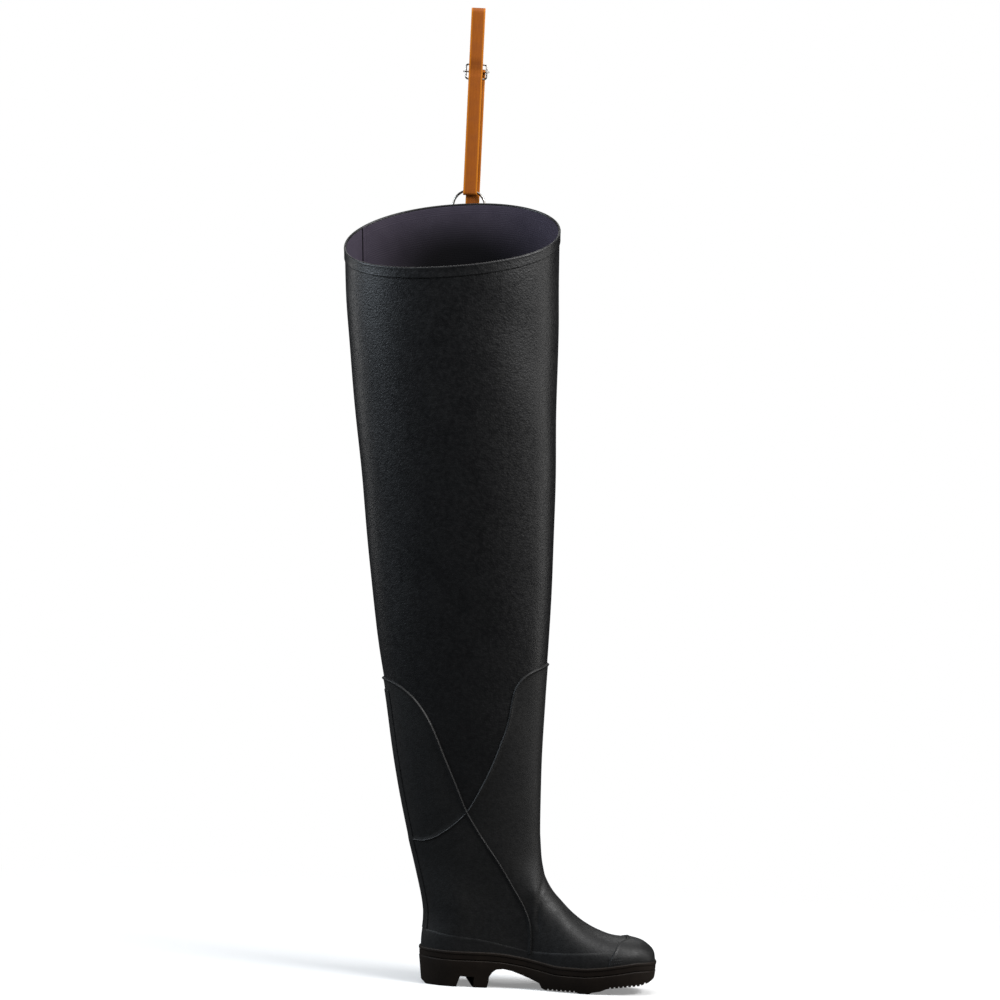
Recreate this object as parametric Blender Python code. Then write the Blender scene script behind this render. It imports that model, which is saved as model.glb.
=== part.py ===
"""Hip wader: a left rubber boot with a thigh-high shaft and a belt strap.

The toe points to +X, the outer side to +Y and up is +Z. The origin lies on the floor, under the
middle of the heel's rear lug. Every size in this file is in millimetres, and mesh_object() turns
them into metres.
"""
import math

import bmesh
import bpy
import numpy as np

METRES = 0.001
GAP = 0.3

# The upper's sections, from the sole to the rim: where each one starts at the back and ends in
# front, seen from the side.
SECTIONS = (
    # back_x, back_z, front_x, front_z
    (-33.4, 44.4, 245.0, 39.6),
    (-33.5, 51.0, 243.6, 48.0),
    (-33.3, 57.0, 238.0, 55.2),
    (-32.8, 63.0, 227.5, 61.4),
    (-32.2, 69.0, 211.0, 64.8),
    (-31.8, 76.0, 195.0, 66.2),
    (-31.9, 84.0, 178.0, 71.2),
    (-32.9, 93.0, 160.0, 80.0),
    (-35.0, 104.0, 144.0, 91.8),
    (-38.2, 117.0, 130.5, 105.0),
    (-42.5, 133.0, 118.5, 118.5),
    (-47.5, 151.0, 110.0, 134.0),
    (-53.5, 172.0, 104.5, 155.0),
    (-60.5, 199.0, 101.2, 185.0),
    (-68.5, 232.0, 99.9, 223.0),
    (-79.0, 282.0, 99.0, 280.0),
    (-90.5, 345.0, 99.6, 345.0),
    (-103.0, 410.0, 101.0, 410.0),
    (-117.0, 500.0, 101.9, 500.0),
    (-131.2, 595.0, 100.8, 595.0),
    (-143.5, 683.0, 98.3, 690.0),
    (-154.3, 768.0, 95.5, 780.0),
    (-161.6, 832.0, 92.8, 858.0),
    (-164.2, 867.5, 91.6, 897.5),
    (-165.0, 880.0, 91.2, 910.0),
)
LAST_FOOT_SECTION = 13
LEVEL_SECTION = 7.0
COLUMNS = 36

# The foot's plan where it meets the sole, before its heel and toe are rounded off.
PLAN = (
    # x, inner, outer
    (-34.0, 46.0, 46.0),
    (0.0, 44.5, 44.5),
    (30.0, 37.5, 37.5),
    (60.0, 32.5, 35.5),
    (90.0, 30.0, 38.5),
    (115.0, 35.5, 43.0),
    (140.0, 43.5, 46.5),
    (165.0, 50.0, 47.5),
    (190.0, 53.0, 48.0),
    (210.0, 54.5, 47.0),
    (245.0, 56.0, 43.0),
)
PLAN_ROUNDING = 2.5
HEEL_SHIFT_FADES_TO = 100.0
TOE_SWING = 4.0
TOE_SWING_FROM = 150.0
DOME_RISE = 2.4
DOME_SPREAD = 2.2
CREST_CLIMB = 20.0

# The shaft's half breadth, seen from the front.
SHAFT = (
    # z, half_breadth
    (90.0, 34.5),
    (130.0, 35.5),
    (165.0, 37.0),
    (215.0, 40.0),
    (335.0, 49.0),
    (455.0, 58.0),
    (551.0, 64.0),
    (718.0, 74.0),
    (880.0, 80.0),
)
SHAFT_ROUNDING = 2.15
ANKLE_FROM = 95.0
ANKLE_TO = 165.0

# The rim rises towards the outer side.
RIM_TILT = 36.0
RIM_CURL = 4.0
RIM_HALF_BREADTH = 80.0
TILT_FROM = 620.0
TILT_TO = 895.0

# The wall is thick in the foot and thin in the shaft.
FOOT_WALL = 2.4
SHAFT_WALL = 1.6
WALL_CHANGES_FROM = 60.0
WALL_CHANGES_TO = 300.0

# The top of the sole's side, on which the upper stands.
LEDGE = (
    # x, z
    (-40.0, 44.5),
    (0.0, 43.3),
    (40.0, 43.2),
    (60.0, 42.4),
    (85.0, 39.2),
    (107.0, 35.2),
    (132.0, 31.2),
    (160.0, 31.0),
    (180.0, 32.8),
    (209.0, 37.2),
    (228.0, 39.8),
    (250.0, 39.4),
)

# The underside of the sole, seen from the side. The heel's flat lugs and the ball's lug touch the
# floor.
UNDERSIDE = (
    # x, z
    (-44.0, 12.0),
    (-31.0, 3.0),
    (-27.0, 0.0),
    (46.5, 0.0),
    (48.2, 7.0),
    (48.6, 13.5),
    (52.5, 19.5),
    (57.0, 22.8),
    (65.0, 23.8),
    (75.0, 22.0),
    (86.0, 18.2),
    (97.0, 14.0),
    (109.0, 9.0),
    (112.0, 3.2),
    (116.0, 1.3),
    (155.0, 1.3),
    (156.5, 0.0),
    (169.0, 0.0),
    (171.5, 2.0),
    (182.0, 4.0),
    (190.0, 7.6),
    (210.0, 9.8),
    (230.0, 11.6),
    (240.0, 14.8),
    (246.0, 18.5),
    (256.0, 28.0),
)
# The notch between the heel's two lugs. Its back is square to the heel. Its front is upright on the
# inner side of the heel and leans back on the outer side.
NOTCH_BACK = 9.6
NOTCH_BACK_TOP = 14.0
NOTCH_TOP = 13.5
NOTCH_FRONT_INNER = 34.1
NOTCH_FRONT_OUTER = 24.6
NOTCH_TOP_OUTER = 10.2
NOTCH_RIDGE_OUTER = 0.6
NOTCH_REACH = 52.0
# Stretches of the underside that are cut across by grooves.
GROOVED = (
    # from_x, to_x
    (119.0, 153.0),
    (193.0, 237.0),
)
GROOVE_PITCH = 7.2
GROOVE_WIDTH = 2.6
GROOVE_DEPTH = 3.0
GROOVE_DRAFT = 0.4

# The sole's side, from the ledge down: how far each level lies under the ledge, and how far it
# stands out from the upper.
SOLE_SIDE = (
    # drop, stand_out
    (0.0, 3.6),
    (0.8, 4.2),
    (3.0, 4.2),
    (4.0, 3.5),
    (9.6, 3.3),
    (10.4, 2.3),
    (11.4, 3.4),
    (22.0, 2.2),
)
SOLE_FOOT_STAND_OUT = -1.2
SOLE_BLANK_FLOOR = -4.0

INSOLE_THICKNESS = 4.0
INSOLE_MARGIN = 3.3
INSOLE_TOE_MARGIN = 4.5
INSOLE_NARROWS_FROM = 205.0

# Edges of the overlays, seen from the side.
BACK_PANEL_EDGE = (
    # x, z
    (-93.0, 366.5),
    (-77.4, 361.5),
    (-66.0, 354.5),
    (-52.7, 342.6),
    (-36.1, 319.4),
    (-16.2, 277.2),
    (-1.6, 245.5),
    (13.0, 213.8),
    (29.8, 187.0),
    (55.4, 151.0),
    (74.8, 120.7),
    (89.0, 97.3),
    (95.7, 80.0),
    (98.0, 64.0),
)
PANEL_FOOT = 98.0
FRONT_PANEL_EDGE = (
    # x, z
    (13.6, 214.4),
    (27.3, 240.9),
    (38.1, 265.4),
    (48.6, 295.9),
    (55.8, 320.2),
    (59.4, 344.3),
    (62.3, 360.0),
    (68.9, 372.3),
    (82.6, 383.7),
    (100.2, 391.7),
    (125.0, 396.0),
)
FOXING_EDGE = (
    # x, z
    (-60.0, 68.5),
    (-25.0, 67.5),
    (-6.0, 64.6),
    (36.0, 60.4),
    (72.0, 53.4),
    (108.0, 47.4),
    (132.0, 48.0),
    (156.0, 49.3),
    (180.0, 51.2),
    (196.4, 53.6),
)
TOE_CAP_EDGE = (
    # x, z
    (209.6, 78.0),
    (208.8, 70.0),
    (203.6, 62.0),
    (196.9, 52.0),
    (191.5, 40.3),
)
TOE_CAP_FOOT = 189.0
PANEL_THICKNESS = 1.1
FOXING_THICKNESS = 1.7
TOE_CAP_THICKNESS = 1.7
STAY_THICKNESS = 1.0
STAY_REACH = 5.6
STAY_FROM = 71.0
STAY_TO = 352.0
RIM_BAND_THICKNESS = 1.0
# Where the cutters of the overlays and the sole end, outside the boot.
CLEAR_OF_CALF = -130.0
CLEAR_OF_TOE = 262.0
CLEAR_OF_HEEL = -50.0
CLEAR_OF_SIDES = 150.0
ABOVE_SOLE = 60.0
ABOVE_TOES = (215.0, 90.0)
# The last of the upper's sections that a low overlay and a high one are cut from.
LOW_OVERLAY = 6
HIGH_OVERLAY = 17

# The strap work, on the outer side of the rim. Depths are measured along Y.
STRAP_X = -18.9
STRAP_WIDTH = 16.8
STRAP_THICKNESS = 1.8
ANCHOR_X = -15.6
KEEPER_WIDTH = 16.0
KEEPER_THICKNESS = 1.6
KEEPER_DEPTH = 80.9
KEEPER_FROM = 876.0
RING_X = -19.4
RING_Z = 934.0
RING_RADIUS = 19.3
RING_WIRE = 2.8
BUCKLE_X = -18.2
BUCKLE_Z = 1096.8
BUCKLE_WIDTH = 24.9
BUCKLE_HEIGHT = 17.5
BUCKLE_WIRE = 2.2
BUCKLE_CORNER = 3.0
BAR_WIRE = 2.0
FOLD_END = 985.0
STRAP_TOP = 1174.0
# The heights between which the anchor strap steps out behind the ring, comes back towards the belt
# strap above it, and steps out again to the buckle's bar.
ANCHOR_TO_RING = (898.0, 911.0)
ANCHOR_FROM_RING = (962.0, 998.0)
ANCHOR_TO_BAR = (1060.0, 1084.0)
KEEPER_SWAY = 14.0
FOLD_SWAY = 12.0
HALF_BAR_SEAT = 1.2
LOOP_SWAY_FROM = 34.0
LOOP_GAP = 7.5
LOOP_DROPS_TO = 1118.0
HOOK_END = -100.0
RIVET_HEIGHTS = (881.0, 892.0)
RIVET_X = -17.5
RIVET_RADIUS = 4.0
RIVET_HEAD = 1.4
RIVET_CORNER = 0.8

# The depths that follow from them, from the shaft outward.
HALF_STRAP = STRAP_THICKNESS / 2
HALF_KEEPER = KEEPER_THICKNESS / 2
KEEPER_TURN = RING_WIRE / 2 + GAP + HALF_KEEPER
STRAP_TURN = RING_WIRE / 2 + GAP + HALF_STRAP
RING_Y = KEEPER_DEPTH + KEEPER_TURN
KEEPER_OUTER_DEPTH = KEEPER_DEPTH + KEEPER_THICKNESS + GAP
ANCHOR_LOW_DEPTH = KEEPER_OUTER_DEPTH + HALF_KEEPER + GAP + HALF_STRAP
ANCHOR_RING_DEPTH = RING_Y + STRAP_TURN + STRAP_THICKNESS + GAP + 0.1
BELT_DEPTH = RING_Y - STRAP_TURN
BELT_PLY_DEPTH = BELT_DEPTH + STRAP_THICKNESS + GAP
ANCHOR_HIGH_DEPTH = BELT_PLY_DEPTH + STRAP_THICKNESS + GAP
BUCKLE_TURN = BUCKLE_WIRE / 2 + GAP + HALF_STRAP
FRAME_DEPTH = BELT_DEPTH + BUCKLE_TURN
BAR_TURN = (BUCKLE_WIRE + BAR_WIRE) / 2 + GAP
BAR_DEPTH = FRAME_DEPTH + BAR_TURN
BAR_STRAP_TURN = BAR_WIRE / 2 + GAP + HALF_STRAP
BELT_BAR_DEPTH = BAR_DEPTH - BAR_STRAP_TURN - STRAP_THICKNESS - GAP


def smooth_curve(places, values):
    """Return a monotone cubic through the given points, level beyond both ends."""
    x = np.array(places, float)
    y = np.array(values, float)
    step = np.diff(x)
    slope = np.diff(y) / step
    tangent = np.zeros_like(y)
    tangent[0] = slope[0]
    tangent[-1] = slope[-1]
    for i in range(1, len(x) - 1):
        if slope[i - 1] * slope[i] > 0:
            before = 2 * step[i] + step[i - 1]
            after = step[i] + 2 * step[i - 1]
            tangent[i] = (before + after) / (before / slope[i - 1] + after / slope[i])

    def value_at(place):
        place = np.clip(place, x[0], x[-1])
        i = np.clip(np.searchsorted(x, place, side="right") - 1, 0, len(step) - 1)
        t = (place - x[i]) / step[i]
        start = (1 + 2 * t) * (1 - t) ** 2 * y[i] + t * (1 - t) ** 2 * step[i] * tangent[i]
        end = t * t * (3 - 2 * t) * y[i + 1] + t * t * (t - 1) * step[i] * tangent[i + 1]
        return start + end

    return value_at


def smoothstep(value, low, high):
    """Return 0 below low, 1 above high and a soft ramp between them."""
    t = np.clip((value - low) / (high - low), 0.0, 1.0)
    return t * t * (3.0 - 2.0 * t)


BACK_X, BACK_Z, FRONT_X, FRONT_Z = (np.array(column) for column in zip(*SECTIONS))
SECTION_NUMBERS = np.arange(len(SECTIONS))
back_height = smooth_curve(SECTION_NUMBERS, BACK_Z)
back_place = smooth_curve(BACK_Z, BACK_X)
front_place = smooth_curve(SECTION_NUMBERS, FRONT_X)
front_height = smooth_curve(SECTION_NUMBERS, FRONT_Z)
CREST = slice(LAST_FOOT_SECTION, None, -1)
crest_height = smooth_curve(FRONT_X[CREST], FRONT_Z[CREST])
ledge_height = smooth_curve(*zip(*LEDGE))
plan_inner = smooth_curve([row[0] for row in PLAN], [row[1] for row in PLAN])
plan_outer = smooth_curve([row[0] for row in PLAN], [row[2] for row in PLAN])
shaft_breadth = smooth_curve(*zip(*SHAFT))


def rounded_end(place, power):
    """Return the breadth, from 0 to 1, of a long rounded outline at place -1 to 1."""
    inside = np.clip(1.0 - np.abs(place) ** power, 0.0, 1.0)
    return inside ** (1.0 / power)


def foot_breadth(x, z, outer):
    """Return how far the foot's inner or outer side lies from its middle line."""
    heel_shift = (back_place(z) - BACK_X[0]) * (1.0 - smoothstep(x, 0.0, HEEL_SHIFT_FADES_TO))
    plan_x = x - heel_shift
    middle = (BACK_X[0] + FRONT_X[0]) / 2
    half_length = (FRONT_X[0] - BACK_X[0]) / 2
    breadth = np.where(outer, plan_outer(plan_x), plan_inner(plan_x))
    breadth = breadth * rounded_end((plan_x - middle) / half_length, PLAN_ROUNDING)
    ledge = ledge_height(x)
    behind_instep = np.maximum(FRONT_X[LAST_FOOT_SECTION] - x, 0.0)
    crest = crest_height(x) + CREST_CLIMB * behind_instep
    rise = np.clip((z - ledge) / (crest - ledge), 0.0, 1.0)
    return breadth * (1.0 - rise ** DOME_RISE) ** (1.0 / DOME_SPREAD)


def section_points(number, columns):
    """Return one section of the upper: back, inner side, front, outer side."""
    angle = np.arange(columns) * 2 * math.pi / columns
    along = (1.0 - np.cos(angle)) / 2
    outer = angle > math.pi
    start_z = back_height(number)
    start_x = back_place(start_z)
    end_x = front_place(number)
    end_z = front_height(number)
    if number < LAST_FOOT_SECTION:
        end_z = crest_height(end_x)
    x = start_x + (end_x - start_x) * along
    z = start_z + (end_z - start_z) * along
    straight = BACK_Z[0] + (FRONT_Z[0] - BACK_Z[0]) * (x - BACK_X[0]) / (FRONT_X[0] - BACK_X[0])
    z = z + (ledge_height(x) - straight) * (1.0 - smoothstep(number, 0.0, LEVEL_SECTION))
    shaft = shaft_breadth(z) * rounded_end(np.cos(angle), SHAFT_ROUNDING)
    ankle = smoothstep(z, ANKLE_FROM, ANKLE_TO)
    side = np.where(outer, 1.0, -1.0)
    breadth = foot_breadth(x, z, outer) * (1.0 - ankle) + shaft * ankle
    y = side * breadth - TOE_SWING * smoothstep(x, TOE_SWING_FROM, FRONT_X[0]) * (1.0 - ankle)
    across = y / RIM_HALF_BREADTH
    z = z + smoothstep(z, TILT_FROM, TILT_TO) * (RIM_TILT * across + RIM_CURL * across ** 2)
    return np.stack([x, y, z], axis=1)


def upper_grid(first, last):
    """Return the upper's surface points from one section to another."""
    return np.array([section_points(number, COLUMNS) for number in range(first, last + 1)])


def surface_normals(grid):
    """Return the outward direction at each point of the upper's surface."""
    around = np.roll(grid, -1, axis=1) - np.roll(grid, 1, axis=1)
    upward = np.gradient(grid, axis=0)
    normal = np.cross(around, upward)
    return normal / np.linalg.norm(normal, axis=2, keepdims=True)


FULL_GRID = upper_grid(0, len(SECTIONS) - 1)
FULL_NORMALS = surface_normals(FULL_GRID)
SOLE_EDGE = FULL_GRID[0]


def plan_directions(outline):
    """Return the outward direction, seen from above, at each point of a closed outline."""
    tangent = np.roll(outline, -1, axis=0) - np.roll(outline, 1, axis=0)
    direction = np.stack([tangent[:, 1], -tangent[:, 0], np.zeros(len(outline))], axis=1)
    return direction / np.linalg.norm(direction, axis=1, keepdims=True)


def material(name, colour, roughness, metallic=0.0):
    """Make a plain material."""
    made = bpy.data.materials.new(name)
    made.use_nodes = True
    shader = made.node_tree.nodes["Principled BSDF"]
    shader.inputs["Base Color"].default_value = (*colour, 1.0)
    shader.inputs["Roughness"].default_value = roughness
    shader.inputs["Metallic"].default_value = metallic
    return made


def mesh_object(name, points, faces, finish):
    """Make an object from points in millimetres."""
    mesh = bpy.data.meshes.new(name)
    mesh.from_pydata([tuple(float(value) * METRES for value in point) for point in points], [], faces)
    mesh.update()
    made = bpy.data.objects.new(name, mesh)
    bpy.context.scene.collection.objects.link(made)
    if finish is not None:
        mesh.materials.append(finish)
    return made


def shell_object(name, outer, inner, finish):
    """Make a tube-like wall between two grids of the same size."""
    rows, columns = outer.shape[:2]
    points = np.concatenate([outer.reshape(-1, 3), inner.reshape(-1, 3)])
    inside = rows * columns
    faces = []
    for row in range(rows - 1):
        for column in range(columns):
            following = (column + 1) % columns
            corners = (
                row * columns + column,
                row * columns + following,
                (row + 1) * columns + following,
                (row + 1) * columns + column,
            )
            for triangle in (corners[:3], (corners[0], corners[2], corners[3])):
                faces.append(triangle)
                faces.append(tuple(inside + corner for corner in reversed(triangle)))
    top = (rows - 1) * columns
    for column in range(columns):
        following = (column + 1) % columns
        faces.append((column, inside + column, inside + following, following))
        faces.append((top + following, inside + top + following, inside + top + column, top + column))
    return mesh_object(name, points, faces, finish)


def side_cutter(name, outline):
    """Make a hidden block with the given outline, seen from the side."""
    count = len(outline)
    points = [(x, -CLEAR_OF_SIDES, z) for x, z in outline]
    points += [(x, CLEAR_OF_SIDES, z) for x, z in outline]
    faces = [tuple(range(count)), tuple(range(2 * count - 1, count - 1, -1))]
    for i in range(count):
        j = (i + 1) % count
        faces.append((j, i, count + i, count + j))
    return hidden_block(name, points, faces)


def hidden_block(name, points, faces):
    """Make a closed block that only cuts other pieces."""
    cutter = mesh_object(name, points, faces, None)
    with_normals_outward(cutter)
    cutter.hide_render = True
    cutter.display_type = "WIRE"
    return cutter


def with_normals_outward(made):
    """Turn every face of a closed mesh outward."""
    work = bmesh.new()
    work.from_mesh(made.data)
    bmesh.ops.recalc_face_normals(work, faces=work.faces)
    work.to_mesh(made.data)
    work.free()


def cut_to(made, cutter, operation):
    """Cut an object with a hidden block."""
    cut = made.modifiers.new(cutter.name, "BOOLEAN")
    cut.operation = operation
    cut.solver = "EXACT"
    cut.object = cutter


def overlay(name, outline, lift, thickness, last_section, finish):
    """Make a layer on the upper, with the given outline seen from the side."""
    grid = FULL_GRID[: last_section + 1]
    normals = FULL_NORMALS[: last_section + 1]
    made = shell_object(name, grid + normals * (lift + thickness), grid + normals * lift, finish)
    cut_to(made, side_cutter(name + "_outline", outline), "INTERSECT")
    return made


def ledge_line(start, end):
    """Return the overlays' lower edge, just above the sole."""
    inside = [x for x in sorted(set(SOLE_EDGE[:, 0].round(6))) if start < x < end]
    return [(x, float(ledge_height(x)) + GAP) for x in [start, *inside, end]]


def make_upper(finish):
    """The hollow shaft and foot, open at the rim and underneath."""
    heights = FULL_GRID[:, :, 2:3]
    thinning = smoothstep(heights, WALL_CHANGES_FROM, WALL_CHANGES_TO)
    wall = FOOT_WALL + (SHAFT_WALL - FOOT_WALL) * thinning
    outer = FULL_GRID.copy()
    inner = FULL_GRID - FULL_NORMALS * wall
    for layer in (outer, inner):
        layer[0, :, 2] = ledge_height(layer[0, :, 0]) + GAP
    return shell_object("upper", outer, inner, finish)


def make_rim_band(finish):
    """The band round the thigh opening."""
    grid = FULL_GRID[-2:]
    normals = FULL_NORMALS[-2:]
    outer = grid + normals * (GAP + RIM_BAND_THICKNESS)
    return shell_object("rim_band", outer, grid + normals * GAP, finish)


def foxing_top(start, end):
    """Return the line just above the foxing, between two places."""
    xs, zs = zip(*FOXING_EDGE)
    inside = [x for x in xs if start < x < end]
    return [(x, float(np.interp(x, xs, zs)) + GAP) for x in [start, *inside, end]]


def make_foxing(finish):
    """The strip over the joint of upper and sole."""
    beside_cap = [(x - GAP, z) for x, z in TOE_CAP_EDGE[3:]]
    outline = [*FOXING_EDGE, *beside_cap, *reversed(ledge_line(FOXING_EDGE[0][0], TOE_CAP_FOOT - GAP))]
    return overlay("foxing_band", outline, GAP, FOXING_THICKNESS, LOW_OVERLAY, finish)


def make_toe_cap(finish):
    """The thick cap over the toes."""
    outline = [*TOE_CAP_EDGE, *ledge_line(TOE_CAP_FOOT, CLEAR_OF_TOE), (CLEAR_OF_TOE, TOE_CAP_EDGE[0][1])]
    return overlay("toe_cap", outline, GAP, TOE_CAP_THICKNESS, LOW_OVERLAY, finish)


def make_back_panel(finish):
    """The reinforcement of heel and calf."""
    foot = foxing_top(FOXING_EDGE[0][0], PANEL_FOOT)
    outline = [*foot, *reversed(BACK_PANEL_EDGE), (CLEAR_OF_CALF, BACK_PANEL_EDGE[0][1])]
    return overlay("back_panel", outline, GAP, PANEL_THICKNESS, HIGH_OVERLAY, finish)


def make_front_panel(finish):
    """The reinforcement of instep and shin."""
    crossing = FRONT_PANEL_EDGE[0][1]
    beside = [(x + GAP, z) for x, z in BACK_PANEL_EDGE if z < crossing - 1.0]
    foot = foxing_top(PANEL_FOOT + GAP, FOXING_EDGE[-1][0])
    beside_cap = [(x - GAP, z) for x, z in reversed(TOE_CAP_EDGE[:3])]
    outline = [*beside, *foot, *beside_cap, ABOVE_TOES, *reversed(FRONT_PANEL_EDGE)]
    return overlay("front_panel", outline, GAP, PANEL_THICKNESS, HIGH_OVERLAY, finish)


def make_back_stay(finish):
    """The strip up the back of heel and calf."""
    heights = np.linspace(STAY_FROM, STAY_TO, 12)
    edge = [(float(back_place(z)) + STAY_REACH, float(z)) for z in heights]
    outline = [*edge, (CLEAR_OF_CALF, STAY_TO), (CLEAR_OF_CALF, STAY_FROM)]
    lift = GAP + PANEL_THICKNESS + GAP
    return overlay("back_stay", outline, lift, STAY_THICKNESS, HIGH_OVERLAY, finish)


def underside_line():
    """Return the underside with its grooves, from heel to toe."""
    xs, zs = zip(*UNDERSIDE)
    grooves = []
    for start, end in GROOVED:
        for left in np.arange(start, end - GROOVE_WIDTH, GROOVE_PITCH):
            grooves.append((float(left), float(left) + GROOVE_WIDTH))
    line = [(x, z) for x, z in UNDERSIDE if not any(left <= x <= right for left, right in grooves)]
    for left, right in grooves:
        for x in (left, right):
            line.append((x, float(np.interp(x, xs, zs))))
        for x in (left + GROOVE_DRAFT, right - GROOVE_DRAFT):
            line.append((x, float(np.interp(x, xs, zs)) + GROOVE_DEPTH))
    return sorted(line)


def make_outsole(finish):
    """The sole: a side with ledge and rib, and an underside with heel, arch and lugs."""
    directions = plan_directions(SOLE_EDGE)
    levels = []
    for drop, stand_out in SOLE_SIDE:
        level = SOLE_EDGE + directions * stand_out
        level[:, 2] = ledge_height(level[:, 0]) - drop
        levels.append(level)
    foot = SOLE_EDGE + directions * SOLE_FOOT_STAND_OUT
    foot[:, 2] = SOLE_BLANK_FLOOR
    levels.append(foot)
    sole = closed_loft("outsole", levels[::-1], finish)
    outline = [*underside_line(), (CLEAR_OF_TOE, ABOVE_SOLE), (CLEAR_OF_HEEL, ABOVE_SOLE)]
    cut_to(sole, side_cutter("underside_outline", outline), "INTERSECT")
    cut_to(sole, notch_cutter(), "DIFFERENCE")
    return sole


def notch_cutter():
    """Make the hidden block that cuts the notch between the heel's lugs."""
    slope = (NOTCH_BACK_TOP - NOTCH_BACK) / NOTCH_TOP
    below = SOLE_BLANK_FLOOR
    outer_ridge = NOTCH_BACK + slope * NOTCH_TOP_OUTER
    sides = (
        (-NOTCH_REACH, NOTCH_FRONT_INNER, NOTCH_BACK_TOP, NOTCH_FRONT_INNER, NOTCH_TOP),
        (NOTCH_REACH, NOTCH_FRONT_OUTER, outer_ridge, outer_ridge + NOTCH_RIDGE_OUTER, NOTCH_TOP_OUTER),
    )
    points = []
    for y, front, back_top, front_top, top in sides:
        lean = (front_top - front) / top
        points += [
            (NOTCH_BACK + slope * below, y, below),
            (front + lean * below, y, below),
            (front_top, y, top),
            (back_top, y, top),
        ]
    faces = [(0, 1, 2, 3), (7, 6, 5, 4), (0, 4, 5, 1), (1, 5, 6), (1, 6, 2), (2, 6, 7, 3), (3, 7, 4, 0)]
    return hidden_block("notch", points, faces)


def closed_loft(name, levels, finish):
    """Join level outlines, from the lowest up, and close both ends with strips across."""
    columns = len(levels[0])
    points = np.concatenate(levels)
    faces = []
    for row in range(len(levels) - 1):
        for column in range(columns):
            following = (column + 1) % columns
            low = row * columns
            high = low + columns
            faces.append((low + column, low + following, high + following, high + column))
    top = (len(levels) - 1) * columns
    half = columns // 2
    for i in range(half):
        strip = list(dict.fromkeys((i, i + 1, columns - i - 1, (columns - i) % columns)))
        faces.append(tuple(top + corner for corner in strip))
        faces.append(tuple(reversed(strip)))
    return mesh_object(name, points, faces, finish)


def make_insole(finish):
    """The footbed inside the upper."""
    directions = plan_directions(SOLE_EDGE)
    towards_toe = smoothstep(SOLE_EDGE[:, 0:1], INSOLE_NARROWS_FROM, FRONT_X[0])
    margin = INSOLE_MARGIN + INSOLE_TOE_MARGIN * towards_toe
    level = SOLE_EDGE - directions * margin
    low = level.copy()
    low[:, 2] = ledge_height(low[:, 0]) + GAP
    high = level.copy()
    high[:, 2] = low[:, 2] + INSOLE_THICKNESS
    return closed_loft("insole", [low, high], finish)


def turn(depth, height, radius, start, end, count=6):
    """Return an arc in a strap's path, seen from the toe, between two angles in degrees."""
    angles = np.radians(np.linspace(start, end, count + 1))
    return [(depth + radius * math.cos(angle), height + radius * math.sin(angle)) for angle in angles]


def sway(start, end, count=6):
    """Return a soft step in a strap's path between two upright stretches."""
    path = []
    for t in np.linspace(0.0, 1.0, count + 1):
        ease = (1.0 - math.cos(math.pi * t)) / 2
        path.append((start[0] + (end[0] - start[0]) * ease, start[1] + (end[1] - start[1]) * t))
    return path


def strip_object(name, middle_x, width, thickness, path, finish):
    """Make a flat strip that follows a path of depths and heights."""
    distinct = [path[0]]
    for point in path[1:]:
        if math.dist(point, distinct[-1]) > 0.01:
            distinct.append(point)
    line = np.array(distinct)
    tangent = np.gradient(line, axis=0)
    tangent = tangent / np.linalg.norm(tangent, axis=1, keepdims=True)
    aside = np.stack([-tangent[:, 1], tangent[:, 0]], axis=1) * thickness / 2
    points = []
    for middle, offset in zip(line, aside):
        for x, point in (
            (-width / 2, middle - offset),
            (width / 2, middle - offset),
            (width / 2, middle + offset),
            (-width / 2, middle + offset),
        ):
            points.append((middle_x + x, point[0], point[1]))
    faces = [(0, 1, 2, 3)]
    for i in range(len(line) - 1):
        for corner in range(4):
            following = (corner + 1) % 4
            faces.append((4 * i + corner, 4 * i + 4 + corner, 4 * i + 4 + following, 4 * i + following))
    last = 4 * (len(line) - 1)
    faces.append((last + 3, last + 2, last + 1, last))
    made = mesh_object(name, points, faces, finish)
    with_normals_outward(made)
    return made


def wire_object(name, path, wire, closed, finish):
    """Make a round wire that follows a path."""
    curve = bpy.data.curves.new(name, "CURVE")
    curve.dimensions = "3D"
    curve.bevel_depth = wire / 2 * METRES
    curve.bevel_resolution = 2
    curve.use_fill_caps = True
    spline = curve.splines.new("POLY")
    spline.points.add(len(path) - 1)
    for point, place in zip(spline.points, path):
        point.co = (*(value * METRES for value in place), 1.0)
    spline.use_cyclic_u = closed
    curve.materials.append(finish)
    made = bpy.data.objects.new(name, curve)
    bpy.context.scene.collection.objects.link(made)
    return made


def make_ring(finish):
    """The ring that stands on the outer side of the rim."""
    bpy.ops.mesh.primitive_torus_add(
        location=(RING_X * METRES, RING_Y * METRES, RING_Z * METRES),
        rotation=(math.pi / 2, 0.0, 0.0),
        major_segments=20,
        minor_segments=8,
        major_radius=RING_RADIUS * METRES,
        minor_radius=RING_WIRE / 2 * METRES,
    )
    ring = bpy.context.object
    ring.name = "ring"
    ring.data.materials.append(finish)


def ring_inside(half_width, off_middle):
    """Return how far above or below its middle the ring's inside lies at a strap's edge."""
    return math.sqrt((RING_RADIUS - RING_WIRE / 2) ** 2 - (half_width + off_middle) ** 2)


def make_ring_keeper(finish):
    """The folded tab that holds the ring's lower wire."""
    turn_height = RING_Z - ring_inside(KEEPER_WIDTH / 2, 0.0) + GAP - (KEEPER_TURN - HALF_KEEPER)
    sway_from = turn_height - 1.0
    path = [
        (KEEPER_DEPTH, KEEPER_FROM),
        *turn(RING_Y, turn_height, KEEPER_TURN, 180.0, 0.0),
        *sway((RING_Y + KEEPER_TURN, sway_from), (KEEPER_OUTER_DEPTH, sway_from - KEEPER_SWAY)),
        (KEEPER_OUTER_DEPTH, KEEPER_FROM),
    ]
    strip_object("ring_keeper", RING_X, KEEPER_WIDTH, KEEPER_THICKNESS, path, finish)


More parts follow.
